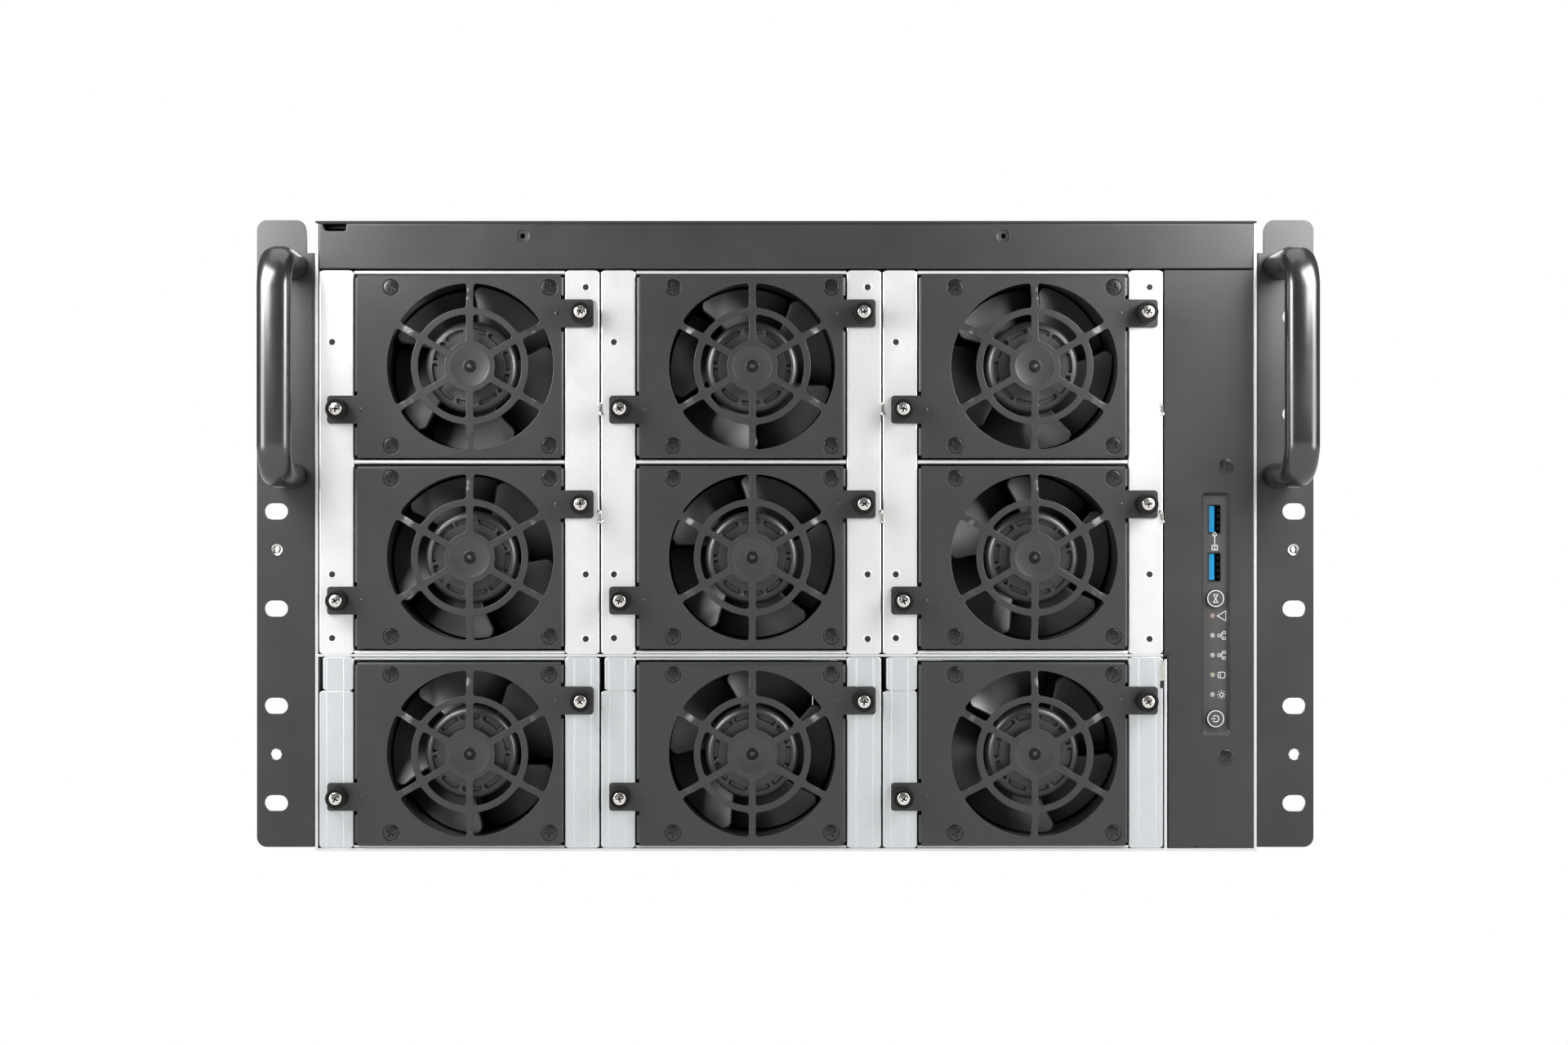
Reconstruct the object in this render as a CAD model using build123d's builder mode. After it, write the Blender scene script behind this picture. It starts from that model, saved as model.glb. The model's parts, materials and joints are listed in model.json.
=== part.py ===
"""Rack server, 6.5 units high, with nine hot-swap fan modules in its front.

Millimetres. X runs to the right as seen from the front, Y to the rear and Z up.
The origin is on the chassis underside, midway across, in the plane where the ears meet the rack.
"""
from build123d import *
from math import cos, radians, sin
import os

# Rack standard
rack_unit = 44.45
rack_panel_width = 482.6
rack_slot_edge = 8.75

# Chassis
ear_reach = 28.5
chassis_rear = 800.0
front_reach = 12.0
sheet = 1.2
top_lip = 14.0
shelf_sheet = 1.1
shelf_flange = 14.0
slide_gap = 0.3
divider_sheet = 1.2
divider_gap = 0.6
divider_depth = 40.0

# Front strip above the fans
strip_height = 20.4
strip_gap = 0.7
strip_return = 30.0
strip_hole_radius = 1.1
strip_dimple_radius = 2.6
strip_dimple_depth = 0.5
strip_dimple_sides = 24
strip_hole_spots = (-119.1, 98.4)
strip_hole_drop = 5.5
strip_notch_inset = 2.3
strip_notch_width = 10.1
strip_notch_depth = 3.3

# Top cover
cover_rear_flange = 12.0
cover_rib_length = 250.0
cover_rib_width = 8.0
cover_rib_depth = 0.6
cover_rib_middle = 440.0
cover_rib_spots = (-110.0, 0.0, 110.0)

# Rack ears
ear_sheet = 2.0
ear_bottom = 0.4
ear_top_rise = 1.8
ear_flange_drop = 15.0
ear_flange_depth = 42.0
ear_bend_radius = 3.5
ear_corner_radius = 4.6
ear_tab_gap = 5.8
ear_slot_length = 10.8
ear_slot_width = 7.4
ear_slot_first = 20.0
ear_slot_count = 6
ear_pin_radius = 2.1
ear_pin_height = 136.3
ear_pin_shift = 0.45
ear_locating_radius = 2.7
ear_locating_height = 42.3

# Handles
handle_offset = 12.8
handle_top_drop = 15.3
handle_length = 107.6
handle_reach = 45.0
handle_width = 15.0
handle_thickness = 12.0
handle_edge_bevel = 3.4
handle_bend_radius = 14.0
handle_bend_steps = 4
handle_screw_radius = 2.4
handle_screw_gap = 0.2
handle_screw_depth = 14.0
handle_screw_head = 4.4
handle_screw_head_depth = 1.2

# Fan module: its own frame has X right, Y up and Z towards the front, with the rail face at 0
plate_sheet = 1.2
fan_fit = 0.2
fan_side_gap = 1.0
fan_connector_gap = 11.0
tray_connector_depth = 8.0
tray_lip = 10.0
tray_floor_gap = 1.5
tray_top_gap = 2.4
tray_row_gap = 3.5
tab_height = 12.7
tab_bevel = 1.2
tab_right_share = 0.844
tab_left_share = 0.776
screw_right_share = 0.49
screw_left_share = 0.465
screw_right_height = 24.0
screw_left_height = -19.5

# Round forms that repeat in every fan module are polygons with this many sides
bore_sides = 20
ring_sides = 12
hub_sides = 12
knob_sides = 8
hole_sides = 6

# Finger guard, stamped out of the plate
guard_lap = 0.5
guard_rise = 2.0
guard_slope_start = 2.6
guard_slope_end = 7.5
guard_ring_inset = 11.2
guard_ring_width = 3.0
guard_disc_radius = 11.4
guard_dish_radius = 8.5
guard_dish_depth = 0.7
guard_spoke_width = 3.1
guard_spoke_count = 6
guard_spoke_start = 30.0

# Fan
fan_size = 80.0
fan_depth = 38.0
fan_flange = 4.0
fan_corner_cut = 7.0
fan_wall = 1.9
motor_radius = 18.8
motor_depth = 27.0
strut_count = 4
strut_width = 3.6
strut_depth = 3.0
strut_bury = 1.0
shaft_radius = 1.5
shaft_clearance = 0.08
shaft_gap = 1.0
bearing_depth = 12.0

# Impeller
blade_count = 5
blade_span = 66.0
blade_clearance = 1.0
blade_trim = 1.0
blade_root_bury = 0.6
blade_lean = 7.5
blade_middle = -17.0
blade_tip_rise = 11.0
blade_camber = 2.4
blade_thickness = 1.4
hub_radius = 21.0
hub_bevel = 3.2
hub_wall = 1.2
hub_set_back = 3.0
hub_depth = 28.0
impeller_rest_angles = (9.7, 52.0, 6.5, 64.0, 20.0, 30.5, 55.4, 31.0, 64.2)

# Thumbscrews
knob_radius = 4.8
knob_length = 9.0
knob_bevel = 0.6
screw_radius = 1.5
screw_gap = 0.2
screw_reach = 4.6

# Fan cages
cage_rear_space = 12.0
cage_sheet = 1.0
cage_opening_gap = 0.6
cage_side_gap = 0.6
cage_gap = 0.8
cage_top_margin = 2.2
cage_corner = 1.6

# Control panel
panel_share = 1 / 12
panel_bottom = 1.5
panel_step_drop = 1.1
panel_step_width = 1.9
panel_return = 24.0
recess_inset = 16.85
recess_width = 12.9
recess_bottom = 52.5
recess_top = 162.0
recess_depth = 1.8
recess_bevel = 1.0
usb_shift = -0.25
usb_heights = (150.1, 128.4)
usb_width = 5.7
usb_height = 13.2
usb_depth = 15.0
usb_wall = 0.3
usb_tongue = 1.6
usb_tongue_length = 11.6
usb_tongue_offset = 1.2
usb_gap = 0.1
light_shift = -1.25
light_heights = (106.3, 97.4, 88.5, 79.5, 70.6)
light_radius = 1.15
light_gap = 0.1
light_sides = 8
reset_height = 114.2
power_height = 59.8
button_radius = 3.9
button_gap = 0.2
button_travel = 1.2
button_collar = 0.8
button_sides = 14
board_thickness = 1.6
board_margin = 1.5

# Main board and what it carries
standoff_height = 7.0
standoff_radius = 3.0
standoff_inset = 10.0
main_board_length = 330.0
main_board_wall_gap = 5.6
main_board_supply_gap = 11.25
main_board_rear_gap = 5.0
cooler_insets = (235.0, 94.0)
cooler_size = (78.0, 94.0, 60.0)
cooler_base = 6.0
cooler_fins = 10
cooler_fin = 1.0
processor_size = (68.0, 78.0)
processor_height = 5.0
memory_size = (4.0, 133.0, 31.0)
memory_pitch = 9.0
memory_bank_shifts = (-78.0, 51.0)
memory_bank_count = 4
memory_socket_height = 4.0
memory_socket_margin = 2.0
port_first = 28.0
port_pitch = 24.0
port_count = 4
port_size = (17.0, 21.0, 15.0)

# Graphics cards on their own board
card_count = 8
card_pitch = 40.64
card_size = (38.0, 267.0, 111.0)
card_bracket = 1.0
card_bracket_drop = 6.0
card_slot_length = 89.0
card_slot_width = 7.5
card_slot_height = 11.0
card_board_margin = 30.0
card_board_standoff = 6.0

# Power supplies
supply_width = 73.5
supply_height = 39.0
supply_depth = 185.0
supply_gap = 3.5
supply_wall_gap = 11.85
supply_handle_reach = 26.0
supply_handle_bar = 3.0
supply_handle_width = 26.0
supply_handle_bevel = 4.0
inlet_width = 24.0
inlet_height = 16.5
inlet_depth = 14.0
inlet_pin = (2.0, 6.0)
inlet_pin_pitch = 7.0
inlet_pin_length = 12.0

# Rear panel openings
rear_opening_gap = 0.4
card_opening_margin = 3.0
port_opening_margin = 1.0

# Widths, from the rack's panel width inwards
front_y = -front_reach
chassis_width = rack_panel_width - 2 * ear_reach
half_width = chassis_width / 2
wall_inner = half_width - sheet
panel_right = wall_inner - slide_gap
panel_left = panel_right - rack_panel_width * panel_share
strip_width = 2 * panel_right
rack_slot_x = rack_panel_width / 2 - rack_slot_edge
ear_tab_inner = half_width + ear_tab_gap
handle_x = half_width + handle_offset

# Fan trays and the rails between them
plate_half_height = fan_size / 2 + plate_sheet + fan_fit
plate_right = fan_size / 2 + plate_sheet + fan_side_gap
plate_left = fan_size / 2 + plate_sheet + fan_connector_gap
cage_width = (wall_inner + panel_left - 2 * cage_side_gap - 2 * cage_gap) / 3
rail_width = (cage_width - plate_left - plate_right) / 2
cage_left = plate_left + rail_width
cage_right = plate_right + rail_width
fan_column_pitch = cage_width + cage_gap
fan_column_first = -wall_inner + cage_side_gap + cage_left
tray_depth = fan_depth + tray_connector_depth
cage_depth = tray_depth + cage_rear_space
tab_right_reach = plate_right + tab_right_share * rail_width
tab_left_reach = plate_left + tab_left_share * rail_width
screw_right = (plate_right + screw_right_share * rail_width, screw_right_height)
screw_left = (-plate_left - screw_left_share * rail_width, screw_left_height)
fan_bore_radius = fan_size / 2 - fan_wall
guard_opening_radius = fan_bore_radius - guard_lap
guard_slope_outer = guard_opening_radius - guard_slope_start
guard_slope_inner = guard_opening_radius - guard_slope_end
guard_ring_outer = guard_opening_radius - guard_ring_inset
guard_ring_inner = guard_ring_outer - guard_ring_width
blade_tip_radius = fan_bore_radius - blade_clearance
blade_root_radius = hub_radius - blade_root_bury

# Heights, from the floor through the fan rows to the cover
lower_row = sheet + tray_floor_gap + plate_half_height
shelf_height = lower_row + plate_half_height + tray_top_gap
shelf_top = shelf_height + shelf_sheet
middle_row = shelf_top + tray_top_gap + plate_half_height
upper_row = middle_row + 2 * plate_half_height + tray_row_gap
fan_rows = (upper_row, middle_row, lower_row)
panel_top = upper_row + plate_half_height + cage_top_margin
strip_bottom = panel_top + strip_gap
bay_top = strip_bottom + strip_height
chassis_height = bay_top + sheet
ear_height = chassis_height + ear_top_rise - ear_bottom
ear_flange_height = ear_height - ear_flange_drop
handle_low = ear_bottom + ear_height - handle_top_drop - handle_length
panel_step_height = shelf_height - panel_step_drop
handle_feet = (
    handle_low + handle_thickness / 2,
    handle_low + handle_length - handle_thickness / 2,
)

# Control panel, boards, cards and supplies
recess_x = panel_right - recess_inset
usb_x = recess_x + usb_shift
light_x = recess_x + light_shift
reset_spot = (recess_x, reset_height)
power_spot = (recess_x, power_height)
recess_floor = front_y + recess_depth
board_front = recess_floor + sheet + usb_depth
supply_right_x = wall_inner - supply_wall_gap - supply_width / 2
supply_centres = (supply_right_x - supply_width - supply_gap, supply_right_x)
main_board_left = -wall_inner + main_board_wall_gap
main_board_right = supply_centres[0] - supply_width / 2 - main_board_supply_gap
main_board_width = main_board_right - main_board_left
main_board_rear = chassis_rear - main_board_rear_gap
cooler_x = (main_board_left + main_board_right) / 2
main_board_centre = (cooler_x, main_board_rear - main_board_length / 2)
cooler_rows = [main_board_rear - inset for inset in cooler_insets]
port_spots = [main_board_left + port_first + n * port_pitch for n in range(port_count)]
main_board_low = sheet + standoff_height
main_board_top = main_board_low + board_thickness
card_board_top = shelf_top + card_board_standoff + board_thickness
card_bottom = card_board_top + card_slot_height
card_rear = chassis_rear - sheet
supply_middle = sheet + supply_height / 2
os.makedirs("parts", exist_ok=True)


def facing(depth):
    """Plane that looks out of the front, with depth counted along Y."""
    return Plane.XZ.offset(-depth)


def save(piece, name):
    piece.label = name
    export_step(piece, f"parts/{name}.step")


def module_place(column, row):
    """Place of a fan module, whose own Z points out of the front."""
    centre = (fan_column_first + column * fan_column_pitch, front_y, fan_rows[row])
    return Plane(origin=centre, x_dir=(1, 0, 0), z_dir=(0, -1, 0)).location


# Chassis tub: floor, side walls and the lips that carry the cover
with BuildPart() as chassis_tub:
    with BuildSketch(facing(front_y)):
        with Locations((0, bay_top / 2)):
            Rectangle(chassis_width, bay_top)
            Rectangle(2 * wall_inner, bay_top - 2 * sheet, mode=Mode.SUBTRACT)
        with Locations((0, bay_top)):
            Rectangle(chassis_width - 2 * top_lip, 4 * sheet, mode=Mode.SUBTRACT)
    extrude(amount=-(card_rear - front_y))
    with BuildSketch(facing(front_y)):
        with Locations((0, bay_top)):
            Rectangle(2 * wall_inner, 4 * sheet)
    extrude(amount=-strip_return - slide_gap, mode=Mode.SUBTRACT)
save(chassis_tub.part, "chassis_tub")

# Shelf between the main board's bay and the card bay, on flanges at the side walls and a divider
with BuildPart() as fan_shelf:
    with BuildSketch(facing(front_y)):
        with Locations((0, shelf_height + shelf_sheet / 2)):
            Rectangle(2 * wall_inner, shelf_sheet)
        for side in (-1, 1):
            with Locations((side * (wall_inner - sheet / 2), shelf_height - shelf_flange / 2)):
                Rectangle(sheet, shelf_flange)
    extrude(amount=-(card_rear - front_y))
    with BuildSketch(Plane.XY.offset(shelf_top)):
        with Locations((panel_left - slide_gap, front_y)):
            Rectangle(half_width, panel_return + slide_gap, align=(Align.MIN, Align.MIN))
    extrude(amount=-shelf_flange - shelf_sheet, mode=Mode.SUBTRACT)
    with BuildSketch(Plane.XY.offset(shelf_height)):
        with Locations((-half_width, front_y)):
            Rectangle(half_width, cage_depth + slide_gap, align=(Align.MIN, Align.MIN))
    extrude(amount=-shelf_flange, mode=Mode.SUBTRACT)
    with BuildSketch(Plane.XY.offset(sheet)):
        with Locations((panel_left + divider_gap - cage_side_gap, front_y)):
            Rectangle(divider_sheet, divider_depth, align=(Align.MIN, Align.MIN))
    extrude(amount=shelf_height - sheet)
save(fan_shelf.part, "fan_shelf")

# Front strip: face, top and bottom returns, two countersunk holes and a corner notch
with BuildPart() as front_strip:
    with BuildSketch(Plane.YZ.offset(-strip_width / 2)):
        with BuildLine():
            Polyline(
                (front_y, strip_bottom),
                (front_y, bay_top),
                (front_y + strip_return, bay_top),
                (front_y + strip_return, bay_top - sheet),
                (front_y + sheet, bay_top - sheet),
                (front_y + sheet, strip_bottom + sheet),
                (front_y + strip_return / 2, strip_bottom + sheet),
                (front_y + strip_return / 2, strip_bottom),
                close=True,
            )
        make_face()
    extrude(amount=strip_width)
    with BuildSketch(facing(front_y)):
        with Locations((strip_notch_inset + strip_notch_width / 2 - panel_right, bay_top)):
            Rectangle(strip_notch_width, 2 * strip_notch_depth)
    extrude(amount=-sheet, mode=Mode.SUBTRACT)
    for radius, depth in ((strip_hole_radius, sheet), (strip_dimple_radius, strip_dimple_depth)):
        with BuildSketch(facing(front_y)):
            with Locations(*[(x, bay_top - strip_hole_drop) for x in strip_hole_spots]):
                RegularPolygon(radius, strip_dimple_sides)
        extrude(amount=-depth, mode=Mode.SUBTRACT)
save(front_strip.part, "front_strip")

# Top cover: flat sheet with pressed ribs and a rear flange
with BuildPart() as top_cover:
    with BuildSketch(Plane.XY.offset(bay_top)):
        with Locations((0, (front_y + chassis_rear) / 2)):
            Rectangle(chassis_width, chassis_rear - front_y)
    extrude(amount=sheet)
    with BuildSketch(facing(chassis_rear)):
        with Locations((0, chassis_height - cover_rear_flange / 2)):
            Rectangle(chassis_width, cover_rear_flange)
    extrude(amount=-sheet)
    with BuildSketch(Plane.XY.offset(chassis_height)):
        with Locations(*[(x, cover_rib_middle) for x in cover_rib_spots]):
            Rectangle(cover_rib_width, cover_rib_length)
    extrude(amount=-cover_rib_depth, mode=Mode.SUBTRACT)
save(top_cover.part, "top_cover")


def make_ear(side):
    """Angle bracket: slotted plate against the rack, flange on the chassis wall."""
    outer = rack_panel_width / 2
    flange = half_width + ear_sheet
    with BuildPart() as ear:
        with BuildSketch(Plane.XY.offset(ear_bottom)) as section:
            with BuildLine():
                Polyline(
                    (side * half_width, ear_flange_depth),
                    (side * half_width, -ear_sheet),
                    (side * ear_tab_inner, -ear_sheet),
                    (side * ear_tab_inner, 0),
                    (side * flange, 0),
                    (side * flange, ear_flange_depth),
                    close=True,
                )
            make_face()
            front_corners = section.vertices().group_by(Axis.Y)[0].sort_by(Axis.X)
            fillet(front_corners[0] if side > 0 else front_corners[-1], ear_bend_radius)
        extrude(amount=ear_flange_height)
        with BuildSketch(facing(-ear_sheet)) as tab:
            with Locations((side * (ear_tab_inner + outer) / 2, ear_bottom + ear_height / 2)):
                Rectangle(outer - ear_tab_inner, ear_height)
            corners = tab.vertices().group_by(Axis.Y)
            foot = corners[0].sort_by(Axis.X)
            fillet(corners[-1] + [foot[-1] if side > 0 else foot[0]], ear_corner_radius)
        extrude(amount=-ear_sheet)
        first = ear_bottom + ear_slot_first
        slots = [(side * rack_slot_x, first + n * rack_unit) for n in range(ear_slot_count)]
        with BuildSketch(facing(-ear_sheet)):
            with Locations(*slots):
                SlotOverall(ear_slot_length, ear_slot_width)
            with Locations((side * (rack_slot_x + ear_pin_shift), ear_bottom + ear_pin_height)):
                RegularPolygon(ear_pin_radius, knob_sides)
            with Locations((side * rack_slot_x, ear_bottom + ear_locating_height)):
                RegularPolygon(ear_locating_radius, knob_sides)
            with Locations(*[(side * handle_x, z) for z in handle_feet]):
                RegularPolygon(handle_screw_radius + handle_screw_gap, knob_sides)
        extrude(amount=-ear_sheet, mode=Mode.SUBTRACT)
        with BuildSketch(facing(0)):
            with Locations(*[(side * handle_x, z) for z in handle_feet]):
                RegularPolygon(handle_screw_head + handle_screw_gap, knob_sides)
        extrude(amount=handle_screw_head_depth, mode=Mode.SUBTRACT)
    return ear.part


def make_handle(side):
    """Bar with bevelled edges, bent in short steps and drilled at both feet."""
    near = -ear_sheet
    far = near - handle_reach + handle_thickness / 2
    start = (side * handle_x, near, handle_feet[1])
    route_points = [start]
    for foot, direction in ((handle_feet[1], 1), (handle_feet[0], -1)):
        for step in range(handle_bend_steps + 1):
            turn = radians(90 * step / handle_bend_steps)
            if direction < 0:
                turn = radians(90) - turn
            bend_y = far + handle_bend_radius * (1 - sin(turn))
            bend_z = foot - direction * handle_bend_radius * (1 - cos(turn))
            route_points.append((side * handle_x, bend_y, bend_z))
    route_points.append((side * handle_x, near, handle_feet[0]))
    with BuildPart() as handle:
        with BuildLine() as route:
            Polyline(*route_points)
        with BuildSketch(Plane(start, x_dir=(1, 0, 0), z_dir=(0, -1, 0))) as bar:
            Rectangle(handle_width, handle_thickness)
            chamfer(bar.vertices(), handle_edge_bevel)
        sweep(path=route.line, transition=Transition.RIGHT)
        with BuildSketch(facing(near)):
            with Locations(*[(side * handle_x, z) for z in handle_feet]):
                RegularPolygon(handle_screw_radius + handle_screw_gap, knob_sides)
        extrude(amount=handle_screw_depth, mode=Mode.SUBTRACT)
    return handle.part


for side, side_name in ((-1, "left"), (1, "right")):
    save(make_ear(side), f"ear_{side_name}")
    save(make_handle(side), f"handle_{side_name}")

# Screws that hold the handles, sunk flush in the backs of the ears
with BuildPart() as handle_screws:
    spots = [(side * handle_x, z) for side in (-1, 1) for z in handle_feet]
    with BuildSketch(facing(0)):
        with Locations(*spots):
            RegularPolygon(handle_screw_head, knob_sides)
    extrude(amount=handle_screw_head_depth)
    with BuildSketch(facing(-handle_screw_head_depth)):
        with Locations(*spots):
            RegularPolygon(handle_screw_radius, knob_sides)
    extrude(amount=handle_screw_depth)
save(handle_screws.part, "handle_screws")

# Fan tray: front plate with its guard and tabs, floor, sides and a short top lip
tray_middle = (plate_right - plate_left) / 2
tray_width = plate_right + plate_left
tabs = (
    (screw_right, 1, plate_right, tab_right_reach),
    (screw_left, -1, plate_left, tab_left_reach),
)
with BuildPart() as fan_tray:
    with BuildSketch() as plate:
        with Locations((tray_middle, 0)):
            Rectangle(tray_width, 2 * plate_half_height)
        for (x, y), side, edge, reach in tabs:
            with Locations((side * (edge + reach) / 2, y)):
                Rectangle(reach - edge, tab_height)
        tips = plate.vertices().sort_by(Axis.X)
        chamfer(tips[:2] + tips[-2:], tab_bevel)
        RegularPolygon(guard_opening_radius, bore_sides, major_radius=False, mode=Mode.SUBTRACT)
        with Locations(screw_right, screw_left):
            RegularPolygon(screw_radius + screw_gap, hole_sides, mode=Mode.SUBTRACT)
    extrude(amount=plate_sheet)
    with BuildSketch(Plane.XY.offset(guard_rise)):
        RegularPolygon(guard_ring_outer, ring_sides, rotation=180 / ring_sides)
        RegularPolygon(guard_ring_inner, ring_sides, rotation=180 / ring_sides, mode=Mode.SUBTRACT)
        RegularPolygon(guard_disc_radius, ring_sides, rotation=180 / ring_sides)
    extrude(amount=plate_sheet)
    for angle in range(guard_spoke_count):
        turn = radians(guard_spoke_start + angle * 360 / guard_spoke_count)
        outward = (cos(turn), sin(turn), 0)
        across = (sin(turn), -cos(turn), 0)
        with BuildSketch(Plane((0, 0, 0), x_dir=outward, z_dir=across)):
            with BuildLine():
                Polyline(
                    (guard_dish_radius, guard_rise),
                    (guard_slope_inner, guard_rise),
                    (guard_slope_outer, 0),
                    (guard_opening_radius + plate_sheet, 0),
                    (guard_opening_radius + plate_sheet, plate_sheet),
                    (guard_slope_outer, plate_sheet),
                    (guard_slope_inner, guard_rise + plate_sheet),
                    (guard_dish_radius, guard_rise + plate_sheet),
                    close=True,
                )
            make_face()
        extrude(amount=guard_spoke_width / 2, both=True)
    with BuildSketch(Plane.XY.offset(guard_rise + plate_sheet)):
        RegularPolygon(guard_dish_radius, ring_sides, rotation=180 / ring_sides)
    extrude(amount=-guard_dish_depth, mode=Mode.SUBTRACT)
    with BuildSketch():
        for edge in (-plate_left + plate_sheet / 2, plate_right - plate_sheet / 2):
            with Locations((edge, 0)):
                Rectangle(plate_sheet, 2 * plate_half_height)
        with Locations((tray_middle, -plate_half_height + plate_sheet / 2)):
            Rectangle(tray_width, plate_sheet)
    extrude(amount=-tray_depth)
    with BuildSketch():
        with Locations((tray_middle, plate_half_height - plate_sheet / 2)):
            Rectangle(tray_width, plate_sheet)
    extrude(amount=-tray_lip)

# Fan body: square flanges joined by a cut-cornered duct, and a motor base on struts
with BuildPart() as fan_frame:
    with BuildSketch():
        Rectangle(fan_size, fan_size)
    extrude(amount=-fan_depth)
    with BuildSketch(Plane.XY.offset(-fan_flange)):
        with GridLocations(fan_size, fan_size, 2, 2):
            Rectangle(2 * fan_corner_cut, 2 * fan_corner_cut, rotation=45)
    extrude(amount=-fan_depth + 2 * fan_flange, mode=Mode.SUBTRACT)
    with BuildSketch():
        RegularPolygon(fan_bore_radius, bore_sides, major_radius=False)
    extrude(amount=-fan_depth, mode=Mode.SUBTRACT)
    with BuildSketch(Plane.XY.offset(-fan_depth)):
        RegularPolygon(motor_radius, ring_sides)
    extrude(amount=motor_depth)
    with BuildSketch(Plane.XY.offset(-fan_depth)):
        with PolarLocations((motor_radius + fan_bore_radius) / 2, strut_count):
            Rectangle(fan_bore_radius - motor_radius + 2 * strut_bury, strut_width)
    extrude(amount=strut_depth)
    with BuildSketch(Plane.XY.offset(-fan_depth + motor_depth)):
        RegularPolygon(shaft_radius + shaft_clearance, knob_sides, major_radius=False)
    extrude(amount=-bearing_depth, mode=Mode.SUBTRACT)

# Impeller: cambered blades trimmed to the bore, on a hub cup with a shaft
with BuildPart() as impeller:
    hub_point = Vector(0, 0, blade_middle)
    reach = blade_tip_radius + blade_trim
    half_chord = reach * sin(radians(blade_span / 2))
    for number in range(blade_count):
        middle = radians(number * 360 / blade_count - blade_span / 2)
        outward = Vector(cos(middle), sin(middle), 0) * reach
        forward = Vector(-sin(middle), cos(middle), 0)
        tip = hub_point + outward + forward * (reach * sin(radians(blade_lean)))
        leading = tip + forward * half_chord + Vector(0, 0, blade_tip_rise)
        belly = tip - Vector(0, 0, blade_camber)
        trailing = tip - forward * half_chord - Vector(0, 0, blade_tip_rise)
        for first, second in ((leading, belly), (belly, trailing)):
            side_line = first - hub_point
            panel = Plane(hub_point, x_dir=side_line, z_dir=side_line.cross(second - hub_point))
            corners = [panel.to_local_coords(point) for point in (hub_point, first, second)]
            with BuildSketch(panel):
                with BuildLine():
                    Polyline(*[(corner.X, corner.Y) for corner in corners], close=True)
                make_face()
            extrude(amount=blade_thickness, dir=(0, 0, -1))
    with BuildSketch():
        RegularPolygon(blade_tip_radius, bore_sides)
        RegularPolygon(blade_root_radius, hub_sides, mode=Mode.SUBTRACT)
    extrude(amount=-fan_depth, mode=Mode.INTERSECT)
    with BuildSketch(Plane.XY.offset(-hub_set_back - hub_depth)):
        RegularPolygon(hub_radius, hub_sides)
    extrude(amount=hub_depth)
    chamfer(impeller.faces().sort_by(Axis.Z)[-1].edges(), hub_bevel)
    with BuildSketch(Plane.XY.offset(-hub_set_back - hub_depth)):
        RegularPolygon(hub_radius - hub_wall, hub_sides)
    extrude(amount=hub_depth - hub_bevel, mode=Mode.SUBTRACT)
    with BuildSketch(Plane.XY.offset(-hub_set_back - hub_bevel)):
        RegularPolygon(shaft_radius, knob_sides)
    shaft_end = -fan_depth + motor_depth - bearing_depth + shaft_gap
    extrude(amount=shaft_end + hub_set_back + hub_bevel)

# Captive thumbscrews: a bevelled knob and a plain shank
with BuildPart() as thumbscrews:
    with BuildSketch(Plane.XY.offset(plate_sheet)):
        with Locations(screw_right, screw_left):
            RegularPolygon(knob_radius, knob_sides)
    extrude(amount=knob_length)
    chamfer(thumbscrews.edges().group_by(Axis.Z)[-1], knob_bevel)
    with BuildSketch(Plane.XY.offset(plate_sheet)):
        with Locations(screw_right, screw_left):
            RegularPolygon(screw_radius, hole_sides)
    extrude(amount=-plate_sheet - screw_reach)

for row in range(3):
    for column in range(3):
        number = 1 + 3 * row + column
        place = module_place(column, row)
        turn = Rotation(0, 0, impeller_rest_angles[number - 1])
        save(place * fan_tray.part, f"fan_tray_{number}")
        save(place * fan_frame.part, f"fan_frame_{number}")
        save(place * turn * impeller.part, f"fan_impeller_{number}")
        save(place * thumbscrews.part, f"thumbscrews_{number}")


def make_cage(column, rows, low, high):
    """Galvanised cage: front rails, walls that guide the trays and a sheet under each."""
    centre_x = fan_column_first + column * fan_column_pitch
    middle_x = centre_x + (cage_right - cage_left) / 2
    width = cage_left + cage_right
    opening_left = centre_x - plate_left - cage_opening_gap
    opening_right = centre_x + plate_right + cage_opening_gap
    reach = plate_half_height + slide_gap
    with BuildPart() as cage:
        with BuildSketch(facing(front_y)) as face:
            with Locations((middle_x, (low + high) / 2)):
                Rectangle(width, high - low)
            chamfer(face.vertices(), cage_corner)
            for row in rows:
                with Locations(((opening_left + opening_right) / 2, fan_rows[row])):
                    Rectangle(opening_right - opening_left, 2 * reach, mode=Mode.SUBTRACT)
                screw_spots = [(centre_x + x, fan_rows[row] + z) for x, z in (screw_right, screw_left)]
                with Locations(*screw_spots):
                    RegularPolygon(screw_radius + screw_gap, hole_sides, mode=Mode.SUBTRACT)
        extrude(amount=-cage_sheet)
        with BuildSketch(facing(front_y + cage_sheet)):
            for wall_x in (opening_left - cage_sheet / 2, opening_right + cage_sheet / 2):
                with Locations((wall_x, (low + high) / 2)):
                    Rectangle(cage_sheet, high - low)
            levels = [fan_rows[row] - reach - cage_sheet / 2 for row in rows]
            levels.append(high - cage_sheet / 2)
            for level in levels:
                with Locations((middle_x, level)):
                    Rectangle(width - 2 * cage_corner, cage_sheet)
        extrude(amount=-cage_depth + cage_sheet)
    return cage.part


upper_cages = [make_cage(column, (0, 1), shelf_top, panel_top) for column in range(3)]
lower_cages = [make_cage(column, (2,), sheet, shelf_height) for column in range(3)]
save(Compound(children=upper_cages + lower_cages), "fan_cages")

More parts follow.
